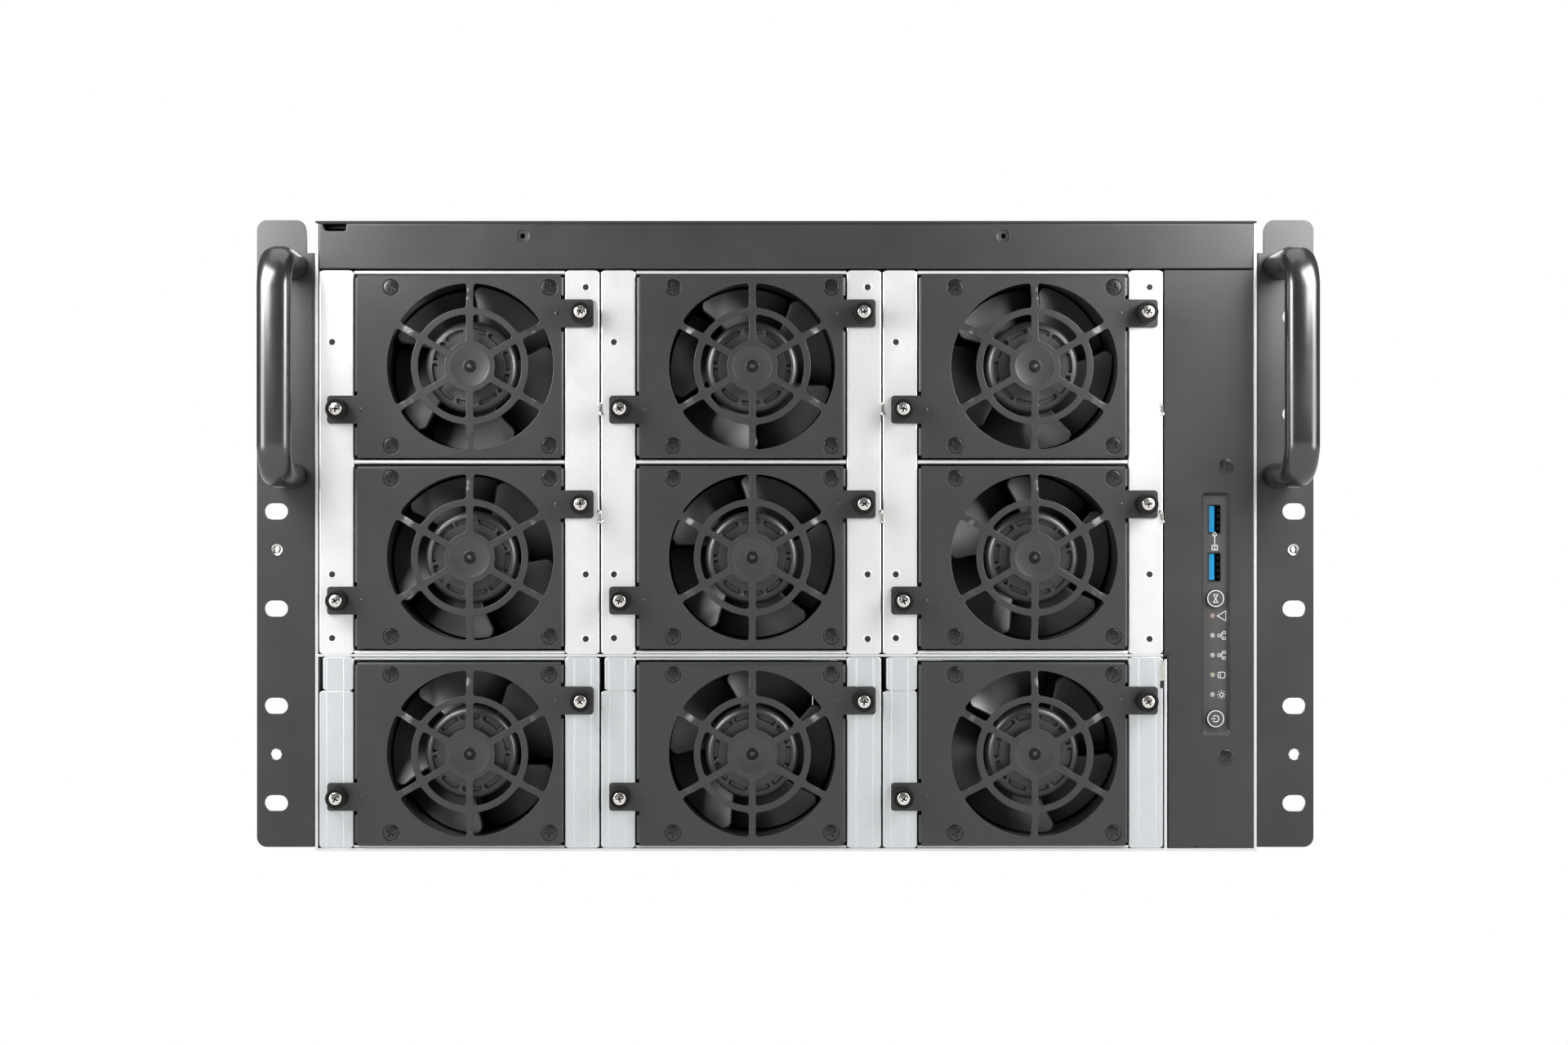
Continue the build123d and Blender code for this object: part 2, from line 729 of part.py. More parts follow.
# Control panel: face with side returns and a shallow recess for sockets, lights and buttons
panel_middle = ((panel_left + panel_right) / 2, (panel_bottom + panel_top) / 2)
panel_size = (panel_right - panel_left, panel_top - panel_bottom)
recess_middle = (recess_x, (recess_bottom + recess_top) / 2)
recess_size = (recess_width, recess_top - recess_bottom)
with BuildPart() as io_panel:
    with BuildSketch(facing(front_y)):
        with Locations(panel_middle):
            Rectangle(*panel_size)
        with Locations((panel_left, panel_bottom)):
            Rectangle(
                panel_step_width,
                panel_step_height - panel_bottom,
                align=(Align.MIN, Align.MIN),
                mode=Mode.SUBTRACT,
            )
    extrude(amount=-sheet)
    with BuildSketch(facing(front_y + sheet)):
        with Locations((panel_right - sheet / 2, panel_middle[1])):
            Rectangle(sheet, panel_size[1])
        with Locations((panel_left + panel_step_width + sheet / 2, panel_middle[1])):
            Rectangle(sheet, panel_size[1])
    extrude(amount=-panel_return + sheet)
    with BuildSketch(facing(front_y + sheet)):
        with Locations(recess_middle):
            Rectangle(recess_size[0] + 2 * sheet, recess_size[1] + 2 * sheet)
    extrude(amount=-recess_depth)
    with BuildSketch(facing(front_y)) as recess:
        with Locations(recess_middle):
            Rectangle(*recess_size)
        chamfer(recess.vertices(), recess_bevel)
    extrude(amount=-recess_depth, mode=Mode.SUBTRACT)
    with BuildSketch(facing(recess_floor)):
        with Locations(*[(usb_x, z) for z in usb_heights]):
            Rectangle(usb_width + 2 * usb_gap, usb_height + 2 * usb_gap)
        with Locations(*[(light_x, z) for z in light_heights]):
            RegularPolygon(light_radius + light_gap, light_sides, major_radius=False)
        with Locations(reset_spot, power_spot):
            RegularPolygon(button_radius + button_gap, button_sides, major_radius=False)
    extrude(amount=-2 * sheet, mode=Mode.SUBTRACT)
save(io_panel.part, "io_panel")

# Board behind the control panel, held by the panel's right return
with BuildPart() as io_board:
    with BuildSketch(facing(board_front)):
        with Locations((panel_right - sheet, recess_middle[1])):
            Rectangle(
                recess_inset - sheet + recess_width / 2,
                recess_size[1] + 2 * board_margin,
                align=(Align.MAX, Align.CENTER),
            )
    extrude(amount=-board_thickness)
save(io_board.part, "io_board")

# Sockets: folded shell, closed back and the contact tongue
with BuildPart() as usb_sockets:
    with BuildSketch(facing(board_front)):
        with Locations(*[(usb_x, z) for z in usb_heights]):
            Rectangle(usb_width, usb_height)
            Rectangle(usb_width - 2 * usb_wall, usb_height - 2 * usb_wall, mode=Mode.SUBTRACT)
    extrude(amount=usb_depth + sheet)
    with BuildSketch(facing(board_front)):
        with Locations(*[(usb_x, z) for z in usb_heights]):
            Rectangle(usb_width, usb_height)
    extrude(amount=usb_wall)
    with BuildSketch(facing(board_front)):
        with Locations(*[(usb_x - usb_tongue_offset, z) for z in usb_heights]):
            Rectangle(usb_tongue, usb_tongue_length)
    extrude(amount=usb_depth)
save(usb_sockets.part, "usb_sockets")

with BuildPart() as status_lights:
    with BuildSketch(facing(board_front)):
        with Locations(*[(light_x, z) for z in light_heights]):
            RegularPolygon(light_radius, light_sides)
    extrude(amount=usb_depth + sheet)
save(status_lights.part, "status_lights")


def make_button(spot):
    """Round cap in the recess, with a collar behind the panel and a stem to its switch."""
    cap_face = recess_floor - button_travel
    collar_face = recess_floor + sheet
    with BuildPart() as button:
        with BuildSketch(facing(cap_face)):
            with Locations(spot):
                RegularPolygon(button_radius, button_sides)
        extrude(amount=cap_face - collar_face)
        with BuildSketch(facing(collar_face)):
            with Locations(spot):
                RegularPolygon(button_radius + button_collar, button_sides)
        extrude(amount=-button_collar)
        with BuildSketch(facing(collar_face + button_collar)):
            with Locations(spot):
                RegularPolygon(button_radius / 2, hole_sides)
        extrude(amount=collar_face + button_collar - board_front + button_travel + slide_gap)
    return button.part


save(make_button(reset_spot), "reset_button")
save(make_button(power_spot), "power_button")

# Main board on standoffs, with processor packages, memory sockets and the rear ports
memory_spots = [
    (cooler_x + shift + n * memory_pitch, y)
    for y in cooler_rows
    for shift in memory_bank_shifts
    for n in range(memory_bank_count)
]
cooler_spots = [(cooler_x, y) for y in cooler_rows]
with BuildPart() as motherboard:
    with BuildSketch(Plane.XY.offset(main_board_low)):
        with Locations(main_board_centre):
            Rectangle(main_board_width, main_board_length)
    extrude(amount=board_thickness)
    with BuildSketch(Plane.XY.offset(sheet)):
        spread_x = main_board_width - 2 * standoff_inset
        spread_y = (main_board_length - 2 * standoff_inset) / 2
        with Locations(main_board_centre):
            with GridLocations(spread_x, spread_y, 2, 3):
                RegularPolygon(standoff_radius, 6)
    extrude(amount=standoff_height)
    with BuildSketch(Plane.XY.offset(main_board_top)):
        with Locations(*cooler_spots):
            Rectangle(*processor_size)
    extrude(amount=processor_height)
    with BuildSketch(Plane.XY.offset(main_board_top)):
        with Locations(*memory_spots):
            Rectangle(memory_size[0] + memory_socket_margin, memory_size[1] + memory_socket_margin)
    extrude(amount=memory_socket_height)
    with BuildSketch(Plane.XY.offset(main_board_top)):
        with Locations(*[(x, chassis_rear) for x in port_spots]):
            Rectangle(port_size[0], port_size[1], align=(Align.CENTER, Align.MAX))
    extrude(amount=port_size[2])
save(motherboard.part, "motherboard")

# Heatsinks on the processors
with BuildPart() as cpu_coolers:
    cooler_low = main_board_top + processor_height
    with BuildSketch(Plane.XY.offset(cooler_low)):
        with Locations(*cooler_spots):
            Rectangle(cooler_size[0], cooler_size[1])
    extrude(amount=cooler_base)
    fin_pitch = (cooler_size[0] - cooler_fin) / (cooler_fins - 1)
    with BuildSketch(Plane.XY.offset(cooler_low + cooler_base)):
        with Locations(*cooler_spots):
            with GridLocations(fin_pitch, 0, cooler_fins, 1):
                Rectangle(cooler_fin, cooler_size[1])
    extrude(amount=cooler_size[2] - cooler_base)
save(cpu_coolers.part, "cpu_coolers")

# Memory modules, upright in their sockets
with BuildPart() as memory_modules:
    with BuildSketch(Plane.XY.offset(main_board_top + memory_socket_height)):
        with Locations(*memory_spots):
            Rectangle(memory_size[0], memory_size[1])
    extrude(amount=memory_size[2])
save(memory_modules.part, "memory_modules")

# Board under the graphics cards, with a slot for each
card_xs = [(n - (card_count - 1) / 2) * card_pitch for n in range(card_count)]
card_middle = card_rear - card_size[1] / 2
card_board_width = card_count * card_pitch + card_board_margin
with BuildPart() as card_board:
    with BuildSketch(Plane.XY.offset(card_board_top)):
        with Locations((0, card_middle)):
            Rectangle(card_board_width, card_size[1])
    extrude(amount=-board_thickness)
    with BuildSketch(Plane.XY.offset(shelf_top)):
        spread_x = (card_board_width - 2 * standoff_inset) / 2
        spread_y = card_size[1] - 2 * standoff_inset
        with Locations((0, card_middle)):
            with GridLocations(spread_x, spread_y, 3, 2):
                RegularPolygon(standoff_radius, 6)
    extrude(amount=card_board_standoff)
    with BuildSketch(Plane.XY.offset(card_board_top)):
        with Locations(*[(x, card_middle) for x in card_xs]):
            Rectangle(card_slot_width, card_slot_length)
    extrude(amount=card_slot_height)
save(card_board.part, "card_board")

# Graphics cards: closed shrouds with rear brackets
with BuildPart() as gpu_cards:
    with BuildSketch(Plane.XY.offset(card_bottom)):
        with Locations(*[(x, card_rear - card_bracket) for x in card_xs]):
            Rectangle(card_size[0], card_size[1] - card_bracket, align=(Align.CENTER, Align.MAX))
    extrude(amount=card_size[2])
    with BuildSketch(facing(card_rear)):
        with Locations(*[(x, card_bottom + (card_size[2] - card_bracket_drop) / 2) for x in card_xs]):
            Rectangle(card_size[0], card_size[2] + card_bracket_drop)
    extrude(amount=card_bracket)
save(gpu_cards.part, "gpu_cards")


def make_supply(centre_x):
    """Slide-in power supply: case, mains inlet with three blades, and a flat loop handle."""
    inlet_x = centre_x - supply_width / 4
    handle_x_middle = centre_x + supply_width / 5
    with BuildPart() as supply:
        with BuildSketch(facing(chassis_rear)):
            with Locations((centre_x, supply_middle)):
                Rectangle(supply_width, supply_height)
        extrude(amount=supply_depth)
        with BuildSketch(facing(chassis_rear)):
            with Locations((inlet_x, supply_middle)):
                Rectangle(inlet_width, inlet_height)
        extrude(amount=inlet_depth, mode=Mode.SUBTRACT)
        with BuildSketch(facing(chassis_rear - inlet_depth)):
            with Locations((inlet_x, supply_middle)):
                with GridLocations(inlet_pin_pitch, 0, 3, 1):
                    Rectangle(*inlet_pin)
        extrude(amount=-inlet_pin_length)
        with BuildSketch(Plane.XY.offset(supply_middle - supply_handle_bar / 2)) as loop:
            with Locations((handle_x_middle, chassis_rear)):
                Rectangle(supply_handle_width, supply_handle_reach, align=(Align.CENTER, Align.MIN))
                chamfer(loop.vertices().group_by(Axis.Y)[-1], supply_handle_bevel)
                Rectangle(
                    supply_handle_width - 2 * supply_handle_bar,
                    supply_handle_reach - supply_handle_bar,
                    align=(Align.CENTER, Align.MIN),
                    mode=Mode.SUBTRACT,
                )
        extrude(amount=supply_handle_bar)
    return supply.part


for number, centre_x in enumerate(supply_centres, start=1):
    save(make_supply(centre_x), f"power_supply_{number}")

# Rear panel: openings for the supplies, the card brackets and the ports
with BuildPart() as rear_panel:
    with BuildSketch(facing(chassis_rear)):
        with Locations((0, bay_top / 2)):
            Rectangle(chassis_width, bay_top)
        with Locations(*[(x, supply_middle) for x in supply_centres]):
            supply_opening = supply_height + 2 * rear_opening_gap
            Rectangle(supply_width + 2 * rear_opening_gap, supply_opening, mode=Mode.SUBTRACT)
        with Locations(*[(x, card_bottom + card_size[2] / 2) for x in card_xs]):
            Rectangle(
                card_size[0] - 2 * card_opening_margin,
                card_size[2] - 2 * card_opening_margin,
                mode=Mode.SUBTRACT,
            )
        with Locations(*[(x, main_board_top + port_size[2] / 2) for x in port_spots]):
            Rectangle(
                port_size[0] + port_opening_margin,
                port_size[2] + port_opening_margin,
                mode=Mode.SUBTRACT,
            )
    extrude(amount=sheet)
save(rear_panel.part, "rear_panel")
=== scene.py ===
"""Looks for the rack server: detailed fan modules, handles, fasteners and finishes on the CAD frame.

Sizes are in millimetres and turned into metres where a mesh is made. X is right, Y is to the rear, Z is up.
A fan module's own frame has u to the right, v up and w towards the front, with the rail face at w = 0.
"""
import json
from math import asin, copysign, cos, hypot, pi, radians, sin

import bmesh
import bpy
from mathutils import Matrix, Vector


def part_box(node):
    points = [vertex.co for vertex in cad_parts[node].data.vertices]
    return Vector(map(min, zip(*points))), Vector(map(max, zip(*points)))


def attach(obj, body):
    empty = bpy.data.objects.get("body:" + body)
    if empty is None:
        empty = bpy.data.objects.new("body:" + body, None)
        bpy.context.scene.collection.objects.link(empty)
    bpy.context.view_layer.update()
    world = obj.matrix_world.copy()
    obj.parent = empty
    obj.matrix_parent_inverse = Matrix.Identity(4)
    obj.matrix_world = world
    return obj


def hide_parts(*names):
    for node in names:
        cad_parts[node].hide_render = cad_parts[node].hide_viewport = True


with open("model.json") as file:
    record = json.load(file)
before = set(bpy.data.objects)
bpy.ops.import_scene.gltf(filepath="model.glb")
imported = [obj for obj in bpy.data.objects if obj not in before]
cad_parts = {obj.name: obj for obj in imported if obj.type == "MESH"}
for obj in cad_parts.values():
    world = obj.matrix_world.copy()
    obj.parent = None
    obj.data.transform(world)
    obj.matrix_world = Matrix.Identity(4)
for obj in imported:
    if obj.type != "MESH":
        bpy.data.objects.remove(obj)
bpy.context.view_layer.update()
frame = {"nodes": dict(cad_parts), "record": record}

MM = 0.001

# Sizes shared with the CAD
rail_face, rear_face = -12.0, 800.0
ear_face, flange_face = -2.0, 214.8
fan_centres = []
for number in range(1, 10):
    low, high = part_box(f"fan_frame_{number}")
    middle = (low + high) / 2 / MM
    fan_centres.append((middle.x, middle.z))
rest_angles = (9.7, 52.0, 6.5, 64.0, 20.0, 30.5, 55.4, 31.0, 64.2)
plate_left, plate_right, plate_half_height = 52.2, 42.2, 41.4
plate_sheet = 1.2
tray_depth, tray_lip = 46.0, 10.0
tab_height, tab_left_reach, tab_right_reach = 12.7, 64.7, 55.8
screw_right, screw_left = (50.1, 24.0), (-59.7, -19.5)
guard_opening, guard_rise, guard_slope = 37.6, 2.0, (30.1, 35.0)
guard_ring, guard_disc, guard_spoke_width = (23.4, 26.4), 11.4, 3.1
screw_dish, knob_face = 3.75, 7.2
fan_screws = [(35.75 * a, 35.75 * b) for a in (-1, 1) for b in (-1, 1)]
fan_size, fan_depth, fan_bore = 80.0, 38.0, 38.1
tip_radius, hub_radius, hub_set_back, hub_depth = 37.1, 21.0, 3.0, 28.0
handle_x, handle_width, handle_thickness = 225.6, 15.0, 12.0
handle_low, handle_high = 169.9, 265.5
handle_bend, handle_reach = 14.0, 45.0


# Materials

def add_node(tree, kind, operation=None, **values):
    """Shader node with its operation set, and each input set to a value or linked to an output."""
    node = tree.nodes.new("ShaderNode" + kind)
    if operation:
        node.operation = operation
    for key, value in values.items():
        socket = node.inputs[key.replace("_", " ")]
        if isinstance(value, bpy.types.NodeSocket):
            tree.links.new(value, socket)
        else:
            socket.default_value = value
    return node


def material(name, color, roughness, metallic=0.0, grain=2600.0, grain_depth=0.012, tone=0.15,
             blotch=30.0, rough_spread=0.06, edge=0.35, coat=0.0, specular=0.5):
    """Principled surface with fine grain, slow variation of tone and roughness, soft edges, and a painted
    highlight that lightens sharp edges.
    """
    made = bpy.data.materials.new(name)
    made.use_nodes = True
    tree = made.node_tree
    shader = tree.nodes["Principled BSDF"]
    link = tree.links.new

    def span(noise, low, high):
        """Output that runs from low to high with a noise."""
        return add_node(tree, "MapRange", Value=noise.outputs["Fac"], From_Min=0.3, From_Max=0.7,
                        To_Min=low, To_Max=high).outputs["Result"]

    place = add_node(tree, "TexCoord").outputs["Object"]
    fine = add_node(tree, "TexNoise", Vector=place, Scale=grain, Detail=3.0, Roughness=0.6)
    slow = add_node(tree, "TexNoise", Vector=place, Scale=blotch, Detail=4.0, Roughness=0.55)
    both = add_node(tree, "Math", "MULTIPLY")
    link(span(fine, 1.0 - tone, 1.0 + tone), both.inputs[0])
    link(span(slow, 1.0 - tone / 3, 1.0 + tone / 3), both.inputs[1])
    tinted = add_node(tree, "VectorMath", "SCALE", Scale=both.outputs["Value"])
    tinted.inputs[0].default_value = color

    rounded = add_node(tree, "Bevel", Radius=edge * MM)
    rounded.samples = 4
    turn = add_node(tree, "VectorMath", "DOT_PRODUCT")
    link(rounded.outputs["Normal"], turn.inputs[0])
    link(add_node(tree, "NewGeometry").outputs["Normal"], turn.inputs[1])
    # Painted highlight: where the bevel turns the normal, the base colour is lightened to stand in for side
    # light catching the edges.
    edge_highlight_mask = add_node(tree, "MapRange", Value=turn.outputs["Value"], From_Min=0.97, From_Max=0.75,
                    To_Min=0.0, To_Max=0.55)
    edge_highlight_mix = add_node(tree, "Mix")
    edge_highlight_mix.data_type = "RGBA"
    edge_highlight_mix.inputs["B"].default_value = (*(min(1.0, 1.7 * part + 0.01) for part in color), 1.0)
    link(edge_highlight_mask.outputs["Result"], edge_highlight_mix.inputs["Factor"])
    link(tinted.outputs["Vector"], edge_highlight_mix.inputs["A"])
    link(edge_highlight_mix.outputs["Result"], shader.inputs["Base Color"])
    link(span(slow, max(0.02, roughness - rough_spread), min(1.0, roughness + rough_spread)),
         shader.inputs["Roughness"])

    bump = add_node(tree, "Bump", Strength=1.0, Distance=grain_depth * MM, Height=fine.outputs["Fac"],
                    Normal=rounded.outputs["Normal"])
    link(bump.outputs["Normal"], shader.inputs["Normal"])
    for key, value in (("Metallic", metallic), ("Specular IOR Level", specular), ("Coat Weight", coat),
                       ("Coat Roughness", 0.3)):
        shader.inputs[key].default_value = value
    return made


powder = dict(grain=1500.0, grain_depth=0.02, tone=0.2)
zinc = dict(metallic=0.6, grain=500.0, grain_depth=0.003, tone=0.02, blotch=60.0,
            rough_spread=0.05, edge=0.25)
clear = dict(grain=900.0, grain_depth=0.002, tone=0.05)
charcoal = material("charcoal_powder_coat", (0.024, 0.0245, 0.025), 0.42, specular=0.4, coat=0.38, **powder)
cover_paint = material("cover_powder_coat", (0.028, 0.0285, 0.029), 0.8, specular=0.06,
                       rough_spread=0.02, **powder)
galvanised = material("galvanised_sheet", (0.67, 0.68, 0.685), 0.36, **zinc)
# Two copies of one zinc sheet: the upper cages' copy is painted lighter and the lower cages' copy darker, as
# painted light and shade for light falling from above. The lower copy also has a slightly bluer tint.
zinc_upper_lit = material("cage_zinc_upper", (0.75, 0.755, 0.75), 0.36, **zinc)
zinc_lower_shaded = material("cage_zinc_lower", (0.585, 0.605, 0.615), 0.36, **zinc)
handle_black = material("satin_black", (0.092, 0.092, 0.09), 0.25, metallic=0.9, grain=3000.0,
                        grain_depth=0.004, tone=0.1)
fan_plastic = material("moulded_black", (0.012, 0.012, 0.0125), 0.42, specular=1.0, grain=1200.0,
                       grain_depth=0.006, tone=0.12)
knob_black = material("knob_black", (0.004, 0.004, 0.004), 0.5, specular=0.2, grain=2500.0,
                      grain_depth=0.006, tone=0.1)
nickel = material("nickel", (0.72, 0.69, 0.65), 0.22, metallic=1.0, grain=900.0, grain_depth=0.002, tone=0.06)
screw_black = material("screw_black", (0.005, 0.005, 0.005), 0.24, grain=1800.0, grain_depth=0.004, coat=0.5)
board_green = material("solder_mask", (0.012, 0.05, 0.028), 0.32, grain=260.0, grain_depth=0.01, tone=0.35)
fins = material("extruded_fins", (0.78, 0.79, 0.8), 0.3, metallic=1.0, grain=700.0,
                grain_depth=0.002, tone=0.05)
shroud = material("card_shroud", (0.02, 0.02, 0.022), 0.45, grain=1500.0, grain_depth=0.01)
button_grey = material("button_plastic", (0.05, 0.051, 0.052), 0.42, grain=1800.0, grain_depth=0.006)
film = material("printed_film", (0.042, 0.042, 0.041), 0.6, grain_depth=0.004, tone=0.06)
lens = material("light_pipe", (0.3, 0.29, 0.28), 0.3, **clear)
lens_red = material("light_pipe_red", (0.24, 0.17, 0.16), 0.3, **clear)
lens_amber = material("light_pipe_amber", (0.25, 0.24, 0.18), 0.3, **clear)
blue_plastic = material("socket_blue", (0.0, 0.19, 0.4), 0.35, grain=1500.0, grain_depth=0.003, tone=0.08)
socket_dark = material("socket_dark", (0.004, 0.007, 0.012), 0.4, grain=1500.0, grain_depth=0.003)
ink_white = material("printed_white", (0.6, 0.61, 0.61), 0.5, grain=2500.0, grain_depth=0.002, tone=0.06)
# Painted shade: near-black sheets placed in holes, slots and openings where only shade would be seen.
hole_shade_black = material("hole_shade_black", (0.003, 0.003, 0.003), 0.6, grain=1000.0, grain_depth=0.002)

finish = {
    "galvanised": galvanised, "charcoal": charcoal, "satin_black": handle_black, "fan_plastic": fan_plastic,
    "knob_black": knob_black, "steel": nickel, "circuit_board": board_green, "fins": fins,
    "card_shroud": shroud, "button_plastic": button_grey, "light_pipe": lens, "supply_case": galvanised,
}
slot_of = {part["node"]: part["material_slot"] for part in frame["record"]["subparts"]}
for name, thing in frame["nodes"].items():
    thing.data.materials.clear()
    thing.data.materials.append(cover_paint if name == "top_cover" else finish[slot_of[name]])


# Objects and meshes

facing = {"front": 0.0, "rear": 180.0, "left": -90.0, "right": 90.0}


def add_object(name, mesh, body, place=(0.0, 0.0, 0.0), turn=0.0, slot=None, face="front"):
    """Object at a place in millimetres, turned about its own axis and facing one side, riding on a body."""
    thing = bpy.data.objects.new(name, mesh)
    bpy.context.scene.collection.objects.link(thing)
    aim, spin = Matrix.Rotation(radians(facing[face]), 4, "Z"), Matrix.Rotation(-radians(turn), 4, "Y")
    thing.matrix_world = Matrix.Translation(Vector(place) * MM) @ aim @ spin
    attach(thing, body)
    return thing


def mesh_from(build, name, *materials, angle=30.0, flat=False):
    """Mesh whose bmesh is filled by build, in millimetres of the world frame.

    With flat, faces square to the front keep a flat shade, so that soft edges don't spread over them.
    """
    bm = bmesh.new()
    build(bm)
    bmesh.ops.remove_doubles(bm, verts=bm.verts, dist=1e-4)
    bmesh.ops.recalc_face_normals(bm, faces=bm.faces)
    bmesh.ops.scale(bm, vec=(MM, MM, MM), verts=bm.verts)
    mesh = bpy.data.meshes.new(name)
    bm.to_mesh(mesh)
    bm.free()
    for each in materials:
        mesh.materials.append(each)
    mesh.shade_smooth()
    mesh.set_sharp_from_angle(angle=radians(angle))
    for face in mesh.polygons if flat else ():
        if abs(face.normal.y) > 0.99999:
            face.use_smooth = False
    return mesh


def mesh_of(name, *materials, **options):
    """Decorator that turns a function which fills a bmesh into the mesh itself."""
    return lambda build: mesh_from(build, name, *materials, **options)


def module_point(u, v, w):
    """Point of a module's frame in world directions, about the fan centre on the rail face."""
    return (u, -w, v)


def skin(bm, rows, closed=True, index=0):
    """Faces between neighbouring rows of vertices. A row of one vertex is a pole."""
    for one, two in zip(rows, rows[1:]):
        count = max(len(one), len(two))
        for n in range(count if closed else count - 1):
            m = (n + 1) % count
            corners = (one[n % len(one)], one[m % len(one)], two[m % len(two)], two[n % len(two)])
            unique = list(dict.fromkeys(corners))
            if len(unique) > 2:
                bm.faces.new(unique).material_index = index


def rectangle(left, low, right, high):
    return [(left, low), (right, low), (right, high), (left, high)]


def oblong(x, z, across, up):
    """Rectangle about a middle, from its half width and half height."""
    return rectangle(x - across, z - up, x + across, z + up)


def circle(radius, sides, centre=(0.0, 0.0), start=0.0):
    return [(centre[0] + radius * cos(start + 2 * pi * n / sides),
             centre[1] + radius * sin(start + 2 * pi * n / sides)) for n in range(sides)]


def arc(centre, radius, start, end, steps=5):
    return [(centre[0] + radius * cos(radians(start + (end - start) * n / steps)),
             centre[1] + radius * sin(radians(start + (end - start) * n / steps))) for n in range(steps + 1)]


def along_spoke(reach, off, angle):
    """Point at a reach along a spoke and at a distance off it."""
    return (reach * cos(angle) - off * sin(angle), reach * sin(angle) + off * cos(angle))


def prism(bm, profile, start, end, place, index=0):
    """Prism between two stations. place(a, b, station) turns a profile point into a 3-D point."""
    near, far = [[bm.verts.new(place(a, b, station)) for a, b in profile] for station in (start, end)]
    for cap in (near, far):
        bm.faces.new(cap).material_index = index
    skin(bm, (near, far), index=index)


def box(bm, low, high, index=0):
    outline = rectangle(low[0], low[2], high[0], high[2])
    prism(bm, outline, low[1], high[1], lambda a, b, station: (a, station, b), index)


def lathe(bm, profile, sides, place=module_point, centre=(0.0, 0.0), index=0):
    """Surface turned about the w axis from (radius, w) pairs, closed at radius 0."""
    rings = []
    for radius, w in profile:
        spots = circle(radius, sides, centre) if radius else [centre]
        rings.append([bm.verts.new(place(u, v, w)) for u, v in spots])
    skin(bm, rings, index=index)


def round_corners(points, radius, steps=5):
    """Closed outline with every corner rounded by a short curve."""
    rounded = []
    for n, point in enumerate(points):
        before, corner, after = Vector(points[n - 1]), Vector(point), Vector(points[(n + 1) % len(points)])
        here = min(radius, 0.45 * (before - corner).length, 0.45 * (after - corner).length)
        start = corner + (before - corner).normalized() * here
        end = corner + (after - corner).normalized() * here
        for step in range(steps + 1):
            t = step / steps
            rounded.append(tuple((1 - t) ** 2 * start + 2 * t * (1 - t) * corner + t * t * end))
    return rounded


def lay_sheet(bm, outlines, thickness, bevel, bevel_steps=1, place=None):
    """Flat sheet from w = 0 to the thickness, cut by the later outlines. place(u, v, w) moves its points."""
    curve = bpy.data.curves.new("sheet_outline", "CURVE")
    curve.dimensions = "2D"
    curve.fill_mode = "BOTH"
    for outline in outlines:
        spline = curve.splines.new("POLY")
        spline.points.add(len(outline) - 1)
        for point, (u, v) in zip(spline.points, outline):
            point.co = (u, v, 0.0, 1.0)
        spline.use_cyclic_u = True
    curve.extrude = thickness / 2 - bevel
    curve.bevel_depth = bevel
    curve.bevel_resolution = bevel_steps
    curve.offset = -bevel
    holder = bpy.data.objects.new("sheet_outline", curve)
    mesh = bpy.data.meshes.new_from_object(holder)
    bpy.data.objects.remove(holder)
    bpy.data.curves.remove(curve)
    before = len(bm.verts)
    bm.from_mesh(mesh)
    bpy.data.meshes.remove(mesh)
    bm.verts.ensure_lookup_table()
    for vertex in bm.verts[before:]:
        vertex.co.z += thickness / 2
        if place:
            vertex.co = place(*vertex.co)


def ribbon(bm, points, width, level, closed=False):
    """Flat printed line in a plane across Y, from (x, z) points."""
    count = len(points)
    sides = ([], [])
    for n, point in enumerate(points):
        here = Vector(point)
        before = Vector(points[n - 1]) if n or closed else None
        after = Vector(points[(n + 1) % count]) if n < count - 1 or closed else None
        into = (here - before).normalized() if before is not None else (after - here).normalized()
        away = (after - here).normalized() if after is not None else into
        along = (into + away).normalized() if (into + away).length > 1e-6 else into
        normal = Vector((-along.y, along.x))
        reach = width / 2 / max(0.35, normal.dot(Vector((-into.y, into.x))))
        for row, sign in zip(sides, (1, -1)):
            spot = here + normal * (sign * reach)
            row.append(bm.verts.new((spot.x, level, spot.y)))
    skin(bm, sides, closed)


# Fan tray

def smooth_step(value, low, high):
    t = min(1.0, max(0.0, (value - low) / (high - low)))
    return t * t * (3 - 2 * t)


def window(inner, outer, start, end, fillet):
    """Opening between two spokes and two arcs, with rounded corners."""
    half = guard_spoke_width / 2

    def on_spoke(angle, side, along):
        return Vector(along_spoke(along, side * half, angle))

    def spoke_edge(angle, side, first, last):
        count = max(2, int(abs(last - first) / 0.7))
        return [on_spoke(angle, side, first + (last - first) * n / count) for n in range(count + 1)]

    def rim(radius, first, last):
        count = max(3, int(abs(last - first) * radius / 1.2))
        turns = [first + (last - first) * n / count for n in range(count + 1)]
        return [Vector((radius * cos(turn), radius * sin(turn))) for turn in turns]

    def corner(before, tip, after):
        return [(1 - t) ** 2 * before + 2 * t * (1 - t) * tip + t * t * after for t in (0.2, 0.4, 0.6, 0.8)]

    near_reach, far_reach = [(radius ** 2 - half ** 2) ** 0.5 for radius in (inner, outer)]
    near_lean, far_lean = [asin(half / radius) + fillet / radius for radius in (inner, outer)]
    edges = [spoke_edge(start, 1, near_reach + fillet, far_reach - fillet),
             rim(outer, start + far_lean, end - far_lean),
             spoke_edge(end, -1, far_reach - fillet, near_reach + fillet),
             rim(inner, end - near_lean, start + near_lean)]
    tips = [on_spoke(*tip) for tip in ((start, 1, far_reach), (end, -1, far_reach),
                                       (end, -1, near_reach), (start, 1, near_reach))]
    path = []
    for edge, tip, following in zip(edges, tips, edges[1:] + edges[:1]):
        path += edge + corner(edge[-1], tip, following[0])
    return [tuple(point) for point in path]


